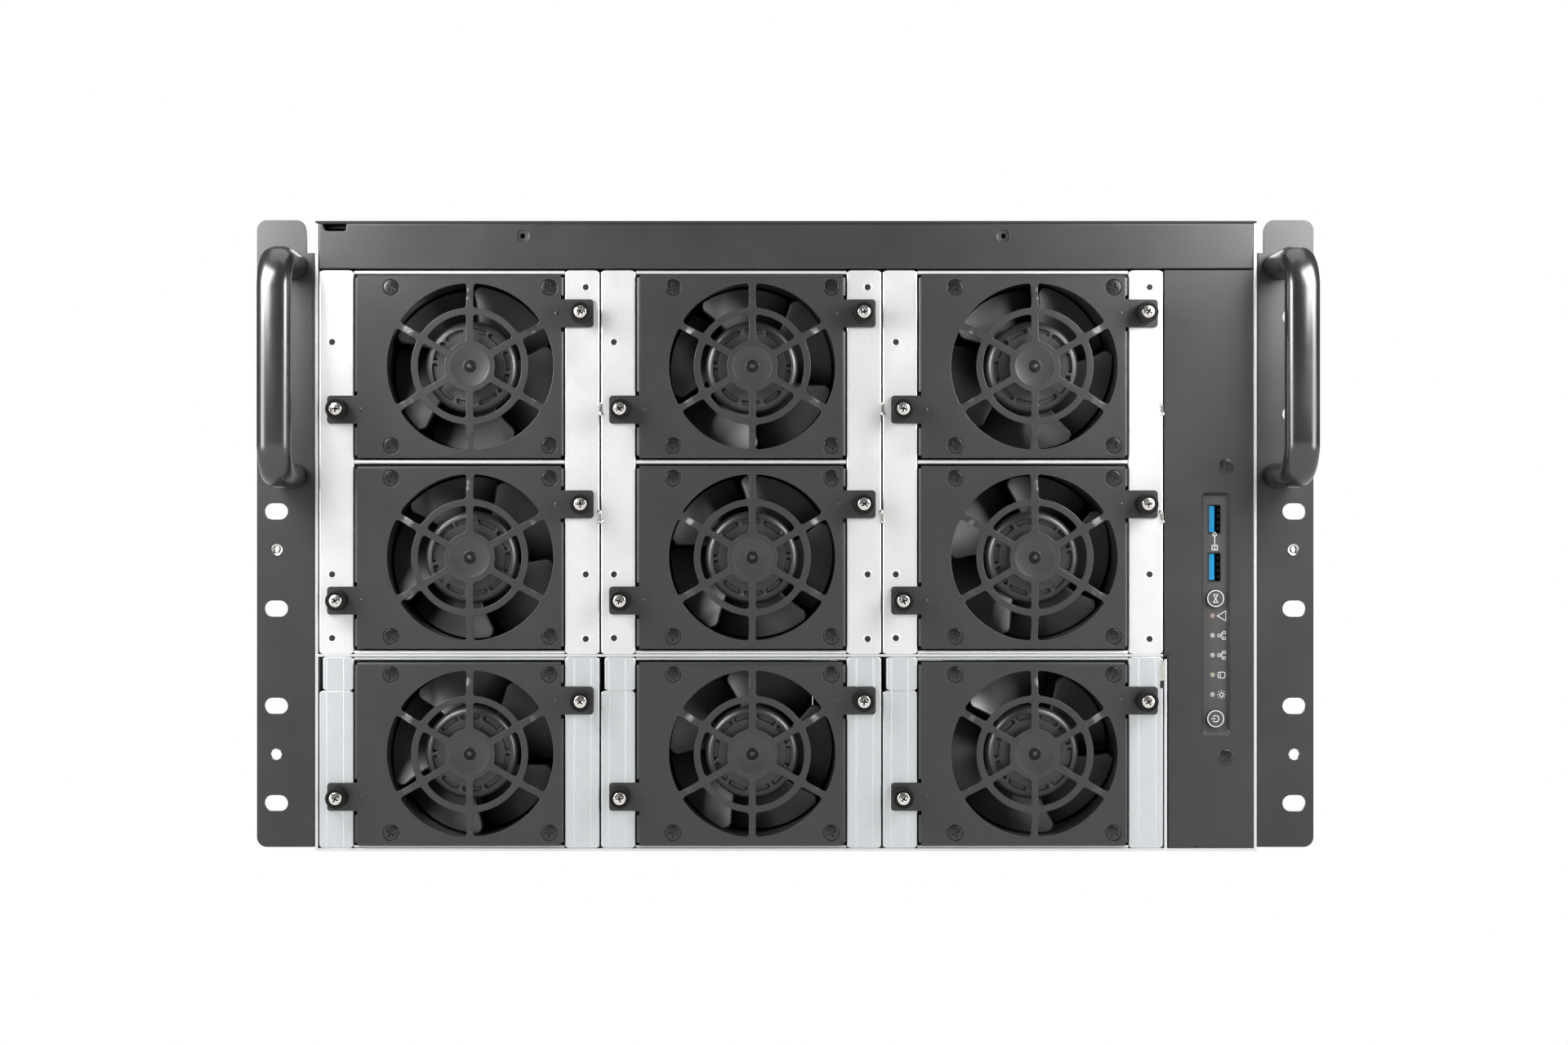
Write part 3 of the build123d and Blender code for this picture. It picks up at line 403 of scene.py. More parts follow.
@mesh_of("fan_tray_sheet", charcoal, knob_black, angle=28.0, flat=True)
def tray_mesh(bm):
    """Tray of a fan module: plate with a stepped finger guard and two tabs, and walls to the rear."""
    right, left, top = plate_right - plate_sheet, plate_left - plate_sheet, plate_half_height - plate_sheet
    half, relief, tip = tab_height / 2, 1.8, 1.6
    sides = ((1, right, screw_right[1]), (-1, left, screw_left[1]))
    bend = [(0.0, 1.2), (0.31, 1.16), (0.6, 1.04), (0.85, 0.85), (1.04, 0.6), (1.16, 0.31), (1.2, 0.0)]

    def tab(side, reach, edge, middle):
        """Tab outline from the plate out and back, with rounded tips."""
        points = [(edge, -half)] + arc((reach - tip, tip - half), tip, -90, 0)
        points += arc((reach - tip, half - tip), tip, 0, 90) + [(edge, half)]
        return [(side * u, middle + side * v) for u, v in points]

    outline = [(right, -top)] + tab(1, tab_right_reach, right, screw_right[1]) + [(right, top), (-left, top)]
    outline += tab(-1, tab_left_reach, left, screw_left[1]) + [(-left, -top)]
    holes = [circle(1.7, 24, spot) for spot in (screw_right, screw_left)]
    holes += [circle(screw_dish, 40, spot) for spot in fan_screws]
    for n in range(6):
        start, end = radians(30 + 60 * n), radians(90 + 60 * n)
        holes.append(window(guard_ring[1], guard_opening, start, end, 1.6))
        holes.append(window(guard_disc, guard_ring[0], start, end, 1.6))
    holes.append(circle(8.9, 64))

    def wall(side, edge, low, high, depth, upright):
        profile = [(0.0, -depth), (0.0, 0.0)] + bend + [(1.2, -depth)]
        if upright:
            prism(bm, profile, low, high, lambda a, b, s: module_point(side * (edge + a), s, b))
        else:
            prism(bm, profile, low, high, lambda a, b, s: module_point(s, side * (edge + a), b))

    lay_sheet(bm, [outline] + holes, plate_sheet, 0.18)
    for _ in range(6):
        # Short edges near the guard's slope, so that it bends smoothly
        bmesh.ops.triangulate(bm, faces=[face for face in bm.faces if len(face.verts) > 3])
        near = [edge for edge in bm.edges if edge.calc_length() > 2.4
                and min(hypot(*end.co.xy) for end in edge.verts) < guard_slope[1]]
        bmesh.ops.subdivide_edges(bm, edges=near, cuts=1)
    for vertex in bm.verts:
        u, v, w = vertex.co
        vertex.co = module_point(u, v, w + guard_rise * (1 - smooth_step(hypot(u, v), *guard_slope)))
    base = guard_rise
    dish = [(8.6 - 5.8 * n / 10, base + 1.1 - 0.7 * sin(pi / 2 * n / 10)) for n in range(11)]
    lathe(bm, [(9.0, base), (9.0, base + 1.2), (8.85, base + 1.19)] + dish, 64)
    lathe(bm, [(2.8, base + 0.4), (2.72, base + 0.62), (2.4, base + 0.7), (1.0, base + 0.5)], 48, index=1)
    lathe(bm, [(1.0, base + 0.5), (0.9, base + 0.8), (0.6, base + 0.95), (0.0, base + 1.0)], 32)
    lathe(bm, [(0.0, base), (9.0, base)], 64)
    for side, edge, spot in sides:
        wall(side, edge, -top, spot - half - relief, tray_depth, True)
        wall(side, edge, spot + half + relief, top, tray_depth, True)
        low, high = sorted((side * edge, side * (edge + 1.2)))
        box(bm, (low, 4.0, spot - half - relief), (high, tray_depth, spot + half + relief))
        lathe(bm, [(0.9, 1.15), (0.75, 1.4), (0.4, 1.55), (0.0, 1.6)], 20,
              centre=(side * (edge - 2.0), spot))
    wall(-1, top, -left, right, tray_depth, False)
    wall(1, top, -left, right, tray_lip, False)
    for spot in fan_screws:
        lathe(bm, [(screw_dish, 0.9), (screw_dish - 0.1, 0.5), (0.0, 0.5)], 40, centre=spot)


# Fan body and impeller

@mesh_of("fan_body", fan_plastic)
def frame_mesh(bm):
    """Fan body: two flanges, a waist between them, the bore, the motor cup and its four spokes."""
    half, waist_cut, flange = fan_size / 2, 11.0, 4.0
    short = half - waist_cut
    bore = circle(fan_bore, 96)
    ends = [round_corners([(half, -half), (half, half), (-half, half), (-half, -half)], 3.0), bore]
    waist = [[(half, -short), (half, short), (short, half), (-short, half),
              (-half, short), (-half, -short), (-short, -half), (short, -half)], bore]
    sheets = ((ends, flange, 0.25, -flange), (waist, fan_depth - 2 * flange, 0.05, -fan_depth + flange),
              (ends, flange, 0.25, -fan_depth))
    spoke = [(-1.8, -fan_depth), (1.8, -fan_depth), (1.5, -fan_depth + 3.0), (-1.5, -fan_depth + 3.0)]
    for outlines, depth, bevel, level in sheets:
        lay_sheet(bm, outlines, depth, bevel, place=lambda u, v, w: module_point(u, v, w + level))
    lathe(bm, [(0.0, -fan_depth), (18.8, -fan_depth), (18.8, -12.0), (18.0, -11.2), (0.0, -11.0)], 64)
    for n in range(4):
        angle = radians(90 * n)
        prism(bm, spoke, 17.0, fan_bore + 0.5, lambda a, b, s: module_point(*along_spoke(s, a, angle), b))


def blade_point(radius, chord):
    """Middle surface of the first blade: chord runs from the leading edge, 0, to the trailing edge, 1."""
    share = (radius - hub_radius) / (tip_radius - hub_radius)
    lead = radians(0.5 + 7.5 * share)
    corner = smooth_step(share, 0.78, 1.0) ** 2
    trimmed = chord * (1 - 0.07 * corner) + 0.07 * corner
    angle = lead - radians(69.0) * trimmed
    front, back = -9.5 + 3.0 * share, -27.0 + 0.5 * share
    w = front + (back - front) * trimmed - 2.6 * sin(pi * trimmed)
    return Vector((radius * cos(angle), radius * sin(angle), w))


@mesh_of("fan_rotor", fan_plastic, angle=40.0)
def impeller_mesh(bm):
    """Hub with ten shallow slots in its face, and five blades."""
    slots = [radians(36 * n) for n in range(10)]
    hub_profile = [(0.0, 0.0), (8.0, 0.0), (12.0, 0.0), (15.4, 0.0), (15.6, 0.0), (16.6, 0.0), (17.5, -0.02),
                   (17.7, -0.05), (18.8, -0.3), (19.8, -0.9), (20.6, -1.9), (20.9, -3.0), (21.0, -4.2),
                   (21.0, -hub_depth)]
    across, along = 10, 26

    def hub(bm):
        rings = []
        for radius, drop in hub_profile:
            ring = []
            count = 180 if radius else 1
            for n in range(count):
                angle = 2 * pi * n / count
                w = -hub_set_back + drop
                nearest = min(abs((angle - slot + pi) % (2 * pi) - pi) for slot in slots)
                reach = radians(14.5) - (0.0 if radius == 16.6 else radians(1.8))
                if 15.5 < radius < 17.6 and nearest < reach:
                    w -= 1.6
                ring.append(bm.verts.new(module_point(radius * cos(angle), radius * sin(angle), w)))
            rings.append(ring)
        skin(bm, rings)

    def blade(bm, spin):
        front_side, back_side = [], []
        for i in range(across + 1):
            radius = hub_radius - 1.2 + (tip_radius - hub_radius + 1.2) * i / across
            front_row, back_row = [], []
            for j in range(along + 1):
                chord = j / along
                here = blade_point(radius, chord)
                ahead, behind = min(1.0, chord + 0.01), max(0.0, chord - 0.01)
                tangent = blade_point(radius, ahead) - blade_point(radius, behind)
                outward = blade_point(min(tip_radius, radius + 0.2), chord) - blade_point(radius - 0.2, chord)
                normal = tangent.cross(outward).normalized()
                if normal.z < 0:
                    normal = -normal
                half = 0.25 + 0.75 * sin(pi * min(1.0, 0.12 + 0.88 * chord)) ** 0.6
                for row, sign in ((front_row, 1), (back_row, -1)):
                    point = here + normal * (sign * half)
                    point.xy *= min(1.0, tip_radius / point.xy.length)
                    row.append(bm.verts.new(module_point(*(spin @ point))))
            front_side.append(front_row)
            back_side.append(back_row)
        for rows in (front_side, back_side):
            skin(bm, rows, closed=False)
        for i in (0, across):
            skin(bm, (front_side[i], back_side[i]), closed=False)
        for j in (0, along):
            skin(bm, [[row[j] for row in side] for side in (front_side, back_side)], closed=False)

    hub(bm)
    for n in range(5):
        blade(bm, Matrix.Rotation(radians(72 * n), 3, "Z"))


# Fasteners

def cross_recess(radius, size, depth, top):
    """Cutter for a cross recess: two crossed tapered bars below the given top level."""
    profile = [(-size, top + 0.5), (size, top + 0.5), (0.7 * size, top - depth), (-0.7 * size, top - depth)]

    def build(bm):
        prism(bm, profile, -radius, radius, lambda a, b, s: module_point(a, s, b))
        prism(bm, profile, -radius, radius, lambda a, b, s: module_point(-s, a, b))
    return mesh_from(build, "cross_recess")


def cut(mesh, cutter):
    """Mesh with the cutter taken away."""
    holder = bpy.data.objects.new("cut", mesh)
    tool = bpy.data.objects.new("cutter", cutter)
    for each in (holder, tool):
        bpy.context.scene.collection.objects.link(each)
    boolean = holder.modifiers.new("cut", "BOOLEAN")
    boolean.operation = "DIFFERENCE"
    boolean.solver = "EXACT"
    boolean.use_self = True
    boolean.object = tool
    graph = bpy.context.evaluated_depsgraph_get()
    result = bpy.data.meshes.new_from_object(holder.evaluated_get(graph))
    for each in (holder, tool):
        bpy.data.objects.remove(each)
    bpy.data.meshes.remove(cutter)
    result.set_sharp_from_angle(angle=radians(30))
    return result


def screw_head_mesh(name, radius, rise, surface, recess=0.55):
    """Low domed head with a cross recess, its seat at w = 0."""
    def build(bm):
        profile = [(0.0, -0.6), (radius, -0.6), (radius, 0.0)]
        for n in range(1, 7):
            turn = radians(15 * n)
            profile.append((radius - 0.7 * rise * (1 - cos(turn)), rise * 0.6 * sin(turn)))
        profile += [(0.6 * radius, 0.9 * rise), (0.3 * radius, rise), (0.0, rise)]
        lathe(bm, profile, 48)
    head = mesh_from(build, name, surface)
    return cut(head, cross_recess(recess * radius, 0.13 * radius, rise + 0.4, rise))


@mesh_of("knurled_knob", knob_black, angle=25.0)
def knob_mesh(bm):
    """Knurled knob with a sunk face for its screw head, about the screw axis, the tab's face at w = 0."""
    count, length, groove = 72, 7.4, 0.22
    rings = []
    for w, radius in ((0.0, 4.4), (0.5, 4.75), (length - 0.6, 4.75), (length, 4.4)):
        ring = []
        for n in range(count):
            reach, angle = radius - groove * (n % 2), 2 * pi * n / count
            ring.append(bm.verts.new(module_point(reach * cos(angle), reach * sin(angle), w)))
        rings.append(ring)
    skin(bm, rings)
    lathe(bm, [(4.4, length), (3.35, length + 0.1), (3.3, length - 0.6), (0.0, length - 0.6)], count)


# Handles and fan modules

def handle_mesh(side):
    """Bar bent twice, of a rounded section, between its two feet on the ear."""
    far, steps, sides = ear_face - handle_reach + handle_thickness / 2, 18, 48
    route = [(ear_face, handle_high, 0.0)]
    for start, foot, sign in ((0, handle_high, -1), (90, handle_low, 1)):
        for n in range(steps + 1):
            turn = radians(start + 90 * n / steps)
            rise = sign * handle_bend * (1 + sign * cos(turn))
            route.append((far + handle_bend * (1 - sin(turn)), foot + rise, turn))
    route.append((ear_face, handle_low, pi))

    def build(bm):
        rings = []
        for y, z, turn in route:
            ring = []
            for across, along in circle(1.0, sides):
                a = copysign(abs(across) ** 0.85, across) * handle_width / 2
                b = copysign(abs(along) ** 0.85, along) * handle_thickness / 2
                ring.append(bm.verts.new((side * handle_x + a, y - b * sin(turn), z + b * cos(turn))))
            rings.append(ring)
        skin(bm, rings)
        bm.faces.new(rings[0])
        bm.faces.new(rings[-1])
    return mesh_from(build, "carry_handle", handle_black, angle=50.0)


both_sides = ((-1, "left"), (1, "right"))
for side, hand in both_sides:
    grip = add_object(f"handle_{hand}_bar", handle_mesh(side), "chassis", slot="satin_black")
    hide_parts(f"handle_{hand}")

silver_head = screw_head_mesh("silver_head", 2.9, 0.9, nickel)
black_head = screw_head_mesh("black_head", 3.45, 0.5, screw_black, recess=0.62)
for number, (fan_x, fan_z) in enumerate(fan_centres, start=1):
    centre = (fan_x, rail_face, fan_z)
    body, screws = f"module_{number}", f"screws_{number}"
    turned = impeller_mesh.copy()
    turned.transform(Matrix.Rotation(-radians(rest_angles[number - 1]), 4, "Y"))
    for node, ending, mesh, carrier, slot in (
            ("fan_tray", "sheet", tray_mesh, body, "charcoal"),
            ("fan_frame", "body", frame_mesh, body, "fan_plastic"),
            ("fan_impeller", "rotor", turned, f"impeller_{number}", "fan_plastic")):
        piece = add_object(f"{node}_{number}_{ending}", mesh, carrier, centre, slot=slot)
        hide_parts(f"{node}_{number}")
    for n, (u, v) in enumerate(fan_screws, start=1):
        place = (fan_x + u, rail_face - plate_sheet + 0.45, fan_z + v)
        add_object(f"fan_screw_{number}_{n}", black_head, body, place, 17.0 * n + 31.0 * number, slot="steel")
    for n, (u, v) in enumerate((screw_right, screw_left), start=1):
        place = (fan_x + u, rail_face - plate_sheet, fan_z + v)
        knob = add_object(f"thumbscrew_{number}_{n}_knob", knob_mesh, screws, place, slot="knob_black")
        if n == 1:
            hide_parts(f"thumbscrews_{number}")
        place = (fan_x + u, rail_face - plate_sheet - knob_face, fan_z + v)
        spin = 23.0 * n + 41.0 * number
        add_object(f"thumbscrew_{number}_{n}_head", silver_head, screws, place, spin, "steel")


# Cages: rails with bent edges, hemmed bars between them, eyelets, catches and marks on their edges

plate_gap, cage_reach = 0.6, 58.0
cage_low, cage_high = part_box("fan_cages")
rail_width = (cage_high.x - cage_low.x) / MM / 6 - (plate_left + plate_right) / 2 - 0.27
upper_levels, lower_levels = (89.0, 262.7), (1.25, 87.9)


def rail(bm, inner, outer, low, high):
    """Upright rail: a front face with round corners over two walls that run to the rear."""
    left, right = sorted((inner, outer))
    lay_sheet(bm, [round_corners(rectangle(left, low, right, high), 2.2)], 1.0, 0.45, 3,
              lambda u, v, w: (u, rail_face + 1.0 - w, v))
    for edge in (left, right - 1.0):
        box(bm, (edge, rail_face + 0.6, low + 0.8), (edge + 1.0, rail_face + cage_reach, high - 0.8))


def hem(bm, left, right, low, high):
    """Bar between two rails: a folded sheet edge with a round nose, then its sheet to the rear."""
    middle, radius = (low + high) / 2, (high - low) / 2
    nose = arc((middle, -0.4 - radius), radius, 180, 0, 8)
    outline = [(middle - 0.5, -cage_reach), (middle - 0.5, -7.0), (low, -6.5)] + nose
    outline += [(high, -6.5), (middle + 0.5, -7.0), (middle + 0.5, -cage_reach)]
    prism(bm, outline, left, right, lambda a, b, s: (s, -b + rail_face, a))


def cage_mesh(centre_x, upper):
    """One cage of a column: the upper tier is plain, the lower one has creases and a stepped left rail."""
    inner_left, inner_right = centre_x - plate_left - plate_gap, centre_x + plate_right + plate_gap
    outer_left, outer_right = centre_x - plate_left - rail_width, centre_x + plate_right + rail_width
    low, high = upper_levels if upper else lower_levels
    step, shift = 15.4, 1.6
    bars = [(260.9, 262.6), (175.0, 177.0), (89.1, 90.7)] if upper else [(86.2, 87.8), (1.3, 2.6)]
    creases = (inner_right + 4.3, outer_right - 3.6, inner_left - 4.3, outer_left + 3.6)

    def build(bm):
        rail(bm, inner_right, outer_right, low, high)
        if upper:
            rail(bm, inner_left, outer_left, low, high)
        else:
            rail(bm, inner_left, outer_left, low, high - step)
            rail(bm, inner_left, outer_left + shift, high - step, high)
            for middle in creases:
                prism(bm, arc((0.0, 0.0), 0.35, 0, 180, 6), low + 1.0, high - 1.0,
                      lambda a, b, s: (middle + a, rail_face - 0.4 * b, s))
        for bar_low, bar_high in bars:
            hem(bm, inner_left + 0.2, inner_right - 0.2, bar_low, bar_high)

    return mesh_from(build, "cage_sheet", zinc_upper_lit if upper else zinc_lower_shaded, flat=True)


@mesh_of("eyelet", zinc_upper_lit, hole_shade_black)
def eyelet_mesh(bm):
    lathe(bm, [(2.1, 0.0), (2.0, 0.1), (1.7, 0.14), (1.4, 0.05), (1.4, -0.6)], 32)
    # Painted shade: a dark disc closes the eyelet's hole.
    lathe(bm, [(1.45, 0.02), (0.0, 0.02)], 24, index=1)


@mesh_of("edge_marks", nickel, hole_shade_black)
def edge_marks_mesh(bm):
    """Bright lance on the last lower cage's edge. Dark boxes below and above it paint the shade in a slot and
    in the gap between the tiers, and a dark half-disc paints the shade in the notch under the control panel.
    """
    box(bm, (169.3, -12.3, 77.3), (170.9, -11.4, 86.0))
    box(bm, (169.2, -12.16, 73.7), (170.7, -11.5, 77.0), 1)
    box(bm, (170.5, -12.05, 87.95), (173.4, -11.6, 89.2), 1)
    notch = [bm.verts.new((x, -12.04, z)) for x, z in arc((185.4, 1.55), 0.95, 0, 180, 8)]
    bm.faces.new(notch).material_index = 1


@mesh_of("cage_catch", nickel)
def catch_mesh(bm):
    """Catch between neighbouring cages: a short strip with a round stud at each end."""
    dome = [(0.95, 0.0), (0.9, 0.35), (0.65, 0.65), (0.3, 0.8), (0.0, 0.83)]
    lathe(bm, dome, 24, centre=(-0.35, 2.2))
    lathe(bm, dome, 24, centre=(0.45, -2.2))
    box(bm, (-0.6, -0.3, -2.2), (0.7, 0.0, 2.2))


cages, columns = [], [x for x, _ in fan_centres[:3]]
for column, column_x in enumerate(columns, start=1):
    for tier in ("upper", "lower"):
        cage = cage_mesh(column_x, tier == "upper")
        cages.append(add_object(f"cage_{tier}_{column}", cage, "chassis", slot="galvanised"))
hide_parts("fan_cages")
eyelet_spots = [(-62.5, z) for z in (230.2, 125.1, 96.3)] + [(52.2, z) for z in (255.0, 125.1, 95.9)]
for column, column_x in enumerate(columns, start=1):
    for n, (u, z) in enumerate(eyelet_spots, start=1):
        place = (column_x + u, rail_face, z)
        add_object(f"eyelet_{column}_{n}", eyelet_mesh, "chassis", place, slot="galvanised")
add_object("edge_marks", edge_marks_mesh, "chassis", slot="galvanised")
for column, column_x in enumerate(columns, start=1):
    seam_x = column_x + plate_right + rail_width + (0.4 if column < 3 else -0.6)
    for n, z in enumerate((199.9, 151.2), start=1):
        add_object(f"catch_{column}_{n}", catch_mesh, "chassis", (seam_x, rail_face, z), slot="steel")


# Front strip and ears

@mesh_of("strip_sheet", charcoal, angle=40.0, flat=True)
def strip_mesh(bm):
    """Strip above the fans: soft bent edges, a round-ended notch and two countersunk holes."""
    strip_low, strip_high = (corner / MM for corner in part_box("front_strip"))
    left, right, low, high = strip_low.x, strip_high.x, strip_low.z, strip_high.z
    notch = arc((left + 11.4, high - 2.2), 1.0, 0, -90) + arc((left + 4.3, high - 1.2), 2.0, -90, -160)
    outline = [(left, low), (right, low), (right, high), (left + 12.4, high)] + notch
    outline += [(left + 1.9, high), (left, high)]
    spots = [(x, high - 5.5) for x in (-119.1, 98.4)]
    returns = ((left + 0.1, low + 0.05, 1.0), (left + 13.0, high - 1.25, 1.0), (left + 0.1, high - 1.25, 8.0))
    lay_sheet(bm, [outline] + [circle(2.6, 48, spot) for spot in spots], 1.2, 0.55, 3,
              lambda u, v, w: (u, rail_face + 1.2 - w, v))
    for spot in spots:
        lathe(bm, [(2.6, -0.55), (1.2, -0.75), (1.1, -1.2), (1.1, -3.0)], 48,
              lambda u, v, w: (u, rail_face - w, v), centre=spot)
    for start, level, depth in returns:
        box(bm, (start, rail_face + depth, level), (right - 0.1, rail_face + 29.0, level + 1.2))
    for edge in (left + 0.02, right - 1.22):
        box(bm, (edge, rail_face + 0.6, low + 0.6), (edge + 1.2, rail_face + 29.0, high - 0.6))


@mesh_of("threaded_insert", nickel, angle=20.0)
def thread_mesh(bm):
    """Threaded insert of an ear."""
    profile = [(2.55, 0.35)]
    for n in range(8):
        profile += [(1.75, 0.1 - 0.5 * n), (2.05, -0.15 - 0.5 * n)]
    lathe(bm, profile + [(2.55, -4.2)], 32)


strip = add_object("front_strip_sheet", strip_mesh, "chassis", slot="charcoal")
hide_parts("front_strip")
for side, hand in both_sides:
    add_object(f"ear_insert_{hand}", thread_mesh, "chassis", (side * 232.1, ear_face, 136.3), slot="steel")


# Rear and sides: card brackets, ports, supply grilles and inlets, air holes and screws

def rear_sheet(outlines, thickness, level, surface, name):
    """Flat sheet that faces the rear, its inner side at the given depth."""
    def build(bm):
        lay_sheet(bm, outlines, thickness, 0.08, place=lambda u, v, w: (u, level + w, v))
    return mesh_from(build, name, surface, flat=True)


def plate(width, height):
    """Outline of a plate with small round corners, about its middle."""
    return round_corners(oblong(0.0, 0.0, width / 2, height / 2), 0.8, 3)


def staggered(columns, rows, pitch, rise):
    """Places of holes in rows that are set off by half a pitch, every second row one hole shorter."""
    return [(pitch * column + pitch / 2 * (row % 2), rise * row)
            for row in range(rows) for column in range(columns - row % 2)]


@mesh_of("supply_grille", nickel, hole_shade_black)
def grille_mesh(bm):
    """Wire guard of three rings and six spokes over a dark disc that is painted shade for the fan opening."""
    wire, loops = circle(0.5, 6), (5.0, 9.5, 14.0)
    for radius in loops:
        rings = [[bm.verts.new(((radius + a) * x, 0.9 + b, (radius + a) * z)) for a, b in wire]
                 for x, z in circle(1.0, 48)]
        skin(bm, rings + rings[:1])
    for n in range(6):
        def place(a, b, s):
            x, z = along_spoke(s, a, pi / 3 * n)
            return (x, b, z)
        prism(bm, rectangle(-0.45, 0.3, 0.45, 1.1), 3.0, 14.4, place)
    lathe(bm, [(14.6, 0.05), (0.0, 0.05)], 48, lambda u, v, w: (u, w, v), index=1)


@mesh_of("inlet_lining", fan_plastic)
def inlet_mesh(bm):
    """Black lining and frame of a mains inlet, open round its three blades."""
    across, up, deep, skin_depth, frame_width = 12.0, 8.25, 14.0, 0.3, 1.8
    for side in (-1, 1):
        for inset, back, front in ((skin_depth, 0.05 - deep, 0.6), (-frame_width, 0.0, 0.9)):
            reach = max(0.0, -inset)
            low, high = sorted((side * across, side * (across - inset)))
            box(bm, (low, back, -up - reach), (high, front, up + reach))
            low, high = sorted((side * up, side * (up - inset)))
            box(bm, (-across - reach, back, low), (across + reach, front, high))
    box(bm, (-across, 0.02 - deep, -up), (across, 0.3 - deep, up))


def air_holes_mesh(rows_from, rows):
    """Staggered rows of dark hexagons on the rear panel: painted shade standing for punched air holes."""
    def build(bm):
        for x, z in staggered(62, rows, 6.2, 5.4):
            hole = circle(2.35, 6, (x - 189.0, rows_from + z), pi / 6)
            bm.faces.new([bm.verts.new((a, rear_face + 0.03, b)) for a, b in hole])
    return mesh_from(build, "air_holes", hole_shade_black)


def lens_mesh(surface):
    def build(bm):
        lathe(bm, [(1.12, -0.4), (1.12, 0.0), (1.0, 0.16), (0.6, 0.26), (0.0, 0.3)], 24)
    return mesh_from(build, "lens", surface)


card_vents = [circle(2.5, 6, (x - 11.6, z - 45.0), pi / 6) for x, z in staggered(5, 15, 5.8, 6.4)]
bracket = rear_sheet([plate(31.6, 104.6)] + card_vents, 0.7, 0.0, nickel, "card_bracket")
for n in range(8):
    card_x = 40.64 * (n - 3.5)
    add_object(f"card_bracket_{n + 1}", bracket, "chassis", (card_x, 798.85, 163.1), slot="steel")
    place = (card_x, rear_face, 220.6)
    add_object(f"bracket_screw_{n + 1}", black_head, "chassis", place, 30.0 * n, "steel", "rear")
board_low, board_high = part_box("motherboard")
plug_shape = [(-5.9, -5.0), (5.9, -5.0), (5.9, 3.0), (3.2, 3.0),
              (3.2, 4.9), (-3.2, 4.9), (-3.2, 3.0), (-5.9, 3.0)]
jack = rear_sheet([plate(16.4, 14.4), plug_shape], 0.5, 0.06, nickel, "port_shell")
# Painted shade: a dark plate behind each port's shell, seen through its plug-shaped opening.
jack_mouth_shade = rear_sheet([plate(15.0, 13.0)], 0.2, -0.12, hole_shade_black, "port_mouth")
for n in range(4):
    place = (board_low.x / MM + 28.0 + 24.0 * n, rear_face, board_high.z / MM - 7.5)
    add_object(f"port_{n + 1}_shell", jack, "chassis", place, slot="steel")
    add_object(f"port_{n + 1}_mouth", jack_mouth_shade, "chassis", place)
supply_middle, supply_quarter = 20.7, 18.375
lens_dot = lens_mesh(lens)
for n in (1, 2):
    low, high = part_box(f"power_supply_{n}")
    middle_x, body = (low.x + high.x) / 2 / MM, f"supply_{n}"
    place = (middle_x - supply_quarter, rear_face, supply_middle)
    add_object(f"supply_inlet_{n}", inlet_mesh, body, place, slot="fan_plastic")
    place = (middle_x + supply_quarter, rear_face, supply_middle)
    add_object(f"supply_grille_{n}", grille_mesh, body, place, slot="steel")
    place = (middle_x - 1.0, rear_face, 33.0)
    add_object(f"supply_light_{n}", lens_dot, body, place, 0.0, "light_pipe", "rear")
add_object("air_holes_low", air_holes_mesh(54.0, 8), "chassis")
add_object("air_holes_high", air_holes_mesh(232.0, 6), "chassis")
for n in range(5):
    place = (-180.0 + 90.0 * n, 801.2, 279.0)
    add_object(f"cover_screw_{n + 1}", black_head, "cover", place, 25.0 * n, "steel", "rear")
for side, hand in both_sides:
    for n, z in enumerate((35.0, 136.0, 245.0), start=1):
        place = (side * flange_face, 28.0, z)
        add_object(f"flange_screw_{hand}_{n}", black_head, "chassis", place, 19.0 * n, "steel", hand)


# Control panel: stamped slope round the recess, sockets, lights, printed marks and screws

recess_low, recess_high, recess_half, recess_y = 52.5, 162.0, 6.45, -10.2
recess_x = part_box("status_lights")[0].x / MM + 1.15 + 1.25
socket_x = recess_x - 0.25
socket_heights, light_heights = (150.1, 128.4), (106.3, 97.4, 88.5, 79.5, 70.6)
buttons = {"reset": 114.2, "power": 59.8}


@mesh_of("recess_slope", charcoal, angle=60.0)
def bezel_mesh(bm):
    """Sloped frame between the panel's face and the recess floor."""
    outer = round_corners(rectangle(-recess_half, recess_low, recess_half, recess_high), 1.4)
    inner = [(x - (1.1 if x > 0 else -1.1), z + (1.7 if z < 100 else -1.1)) for x, z in outer]
    top = [bm.verts.new((recess_x + x, rail_face - 0.02, z)) for x, z in outer]
    foot = [bm.verts.new((recess_x + x, recess_y - 0.03, z)) for x, z in inner]
    skin(bm, (top, foot))


@mesh_of("printed_film", film, flat=True)
def film_mesh(bm):
    """Printed film on the recess floor, open at the sockets and the buttons."""
    side, margin = recess_half - 0.9, 0.9
    outlines = [rectangle(recess_x - side, recess_low + margin, recess_x + side, recess_high - margin)]
    outlines += [oblong(socket_x, z, 2.8, 6.55) for z in socket_heights]
    outlines += [circle(4.05, 48, (recess_x, z)) for z in buttons.values()]
    lay_sheet(bm, outlines, 0.06, 0.01, place=lambda u, v, w: (u, recess_y - w * 0.3, v))


def cap_mesh(spot_z):
    """Smooth round cap of a button, with a soft edge."""
    def build(bm):
        lathe(bm, [(0.0, 0.0), (3.95, 0.0), (3.95, 0.98), (3.85, 1.16), (3.65, 1.23), (0.0, 1.23)], 64,
              lambda u, v, w: (u, recess_y - w, v), centre=(recess_x, spot_z))
    return mesh_from(build, "button_cap", film, flat=True)


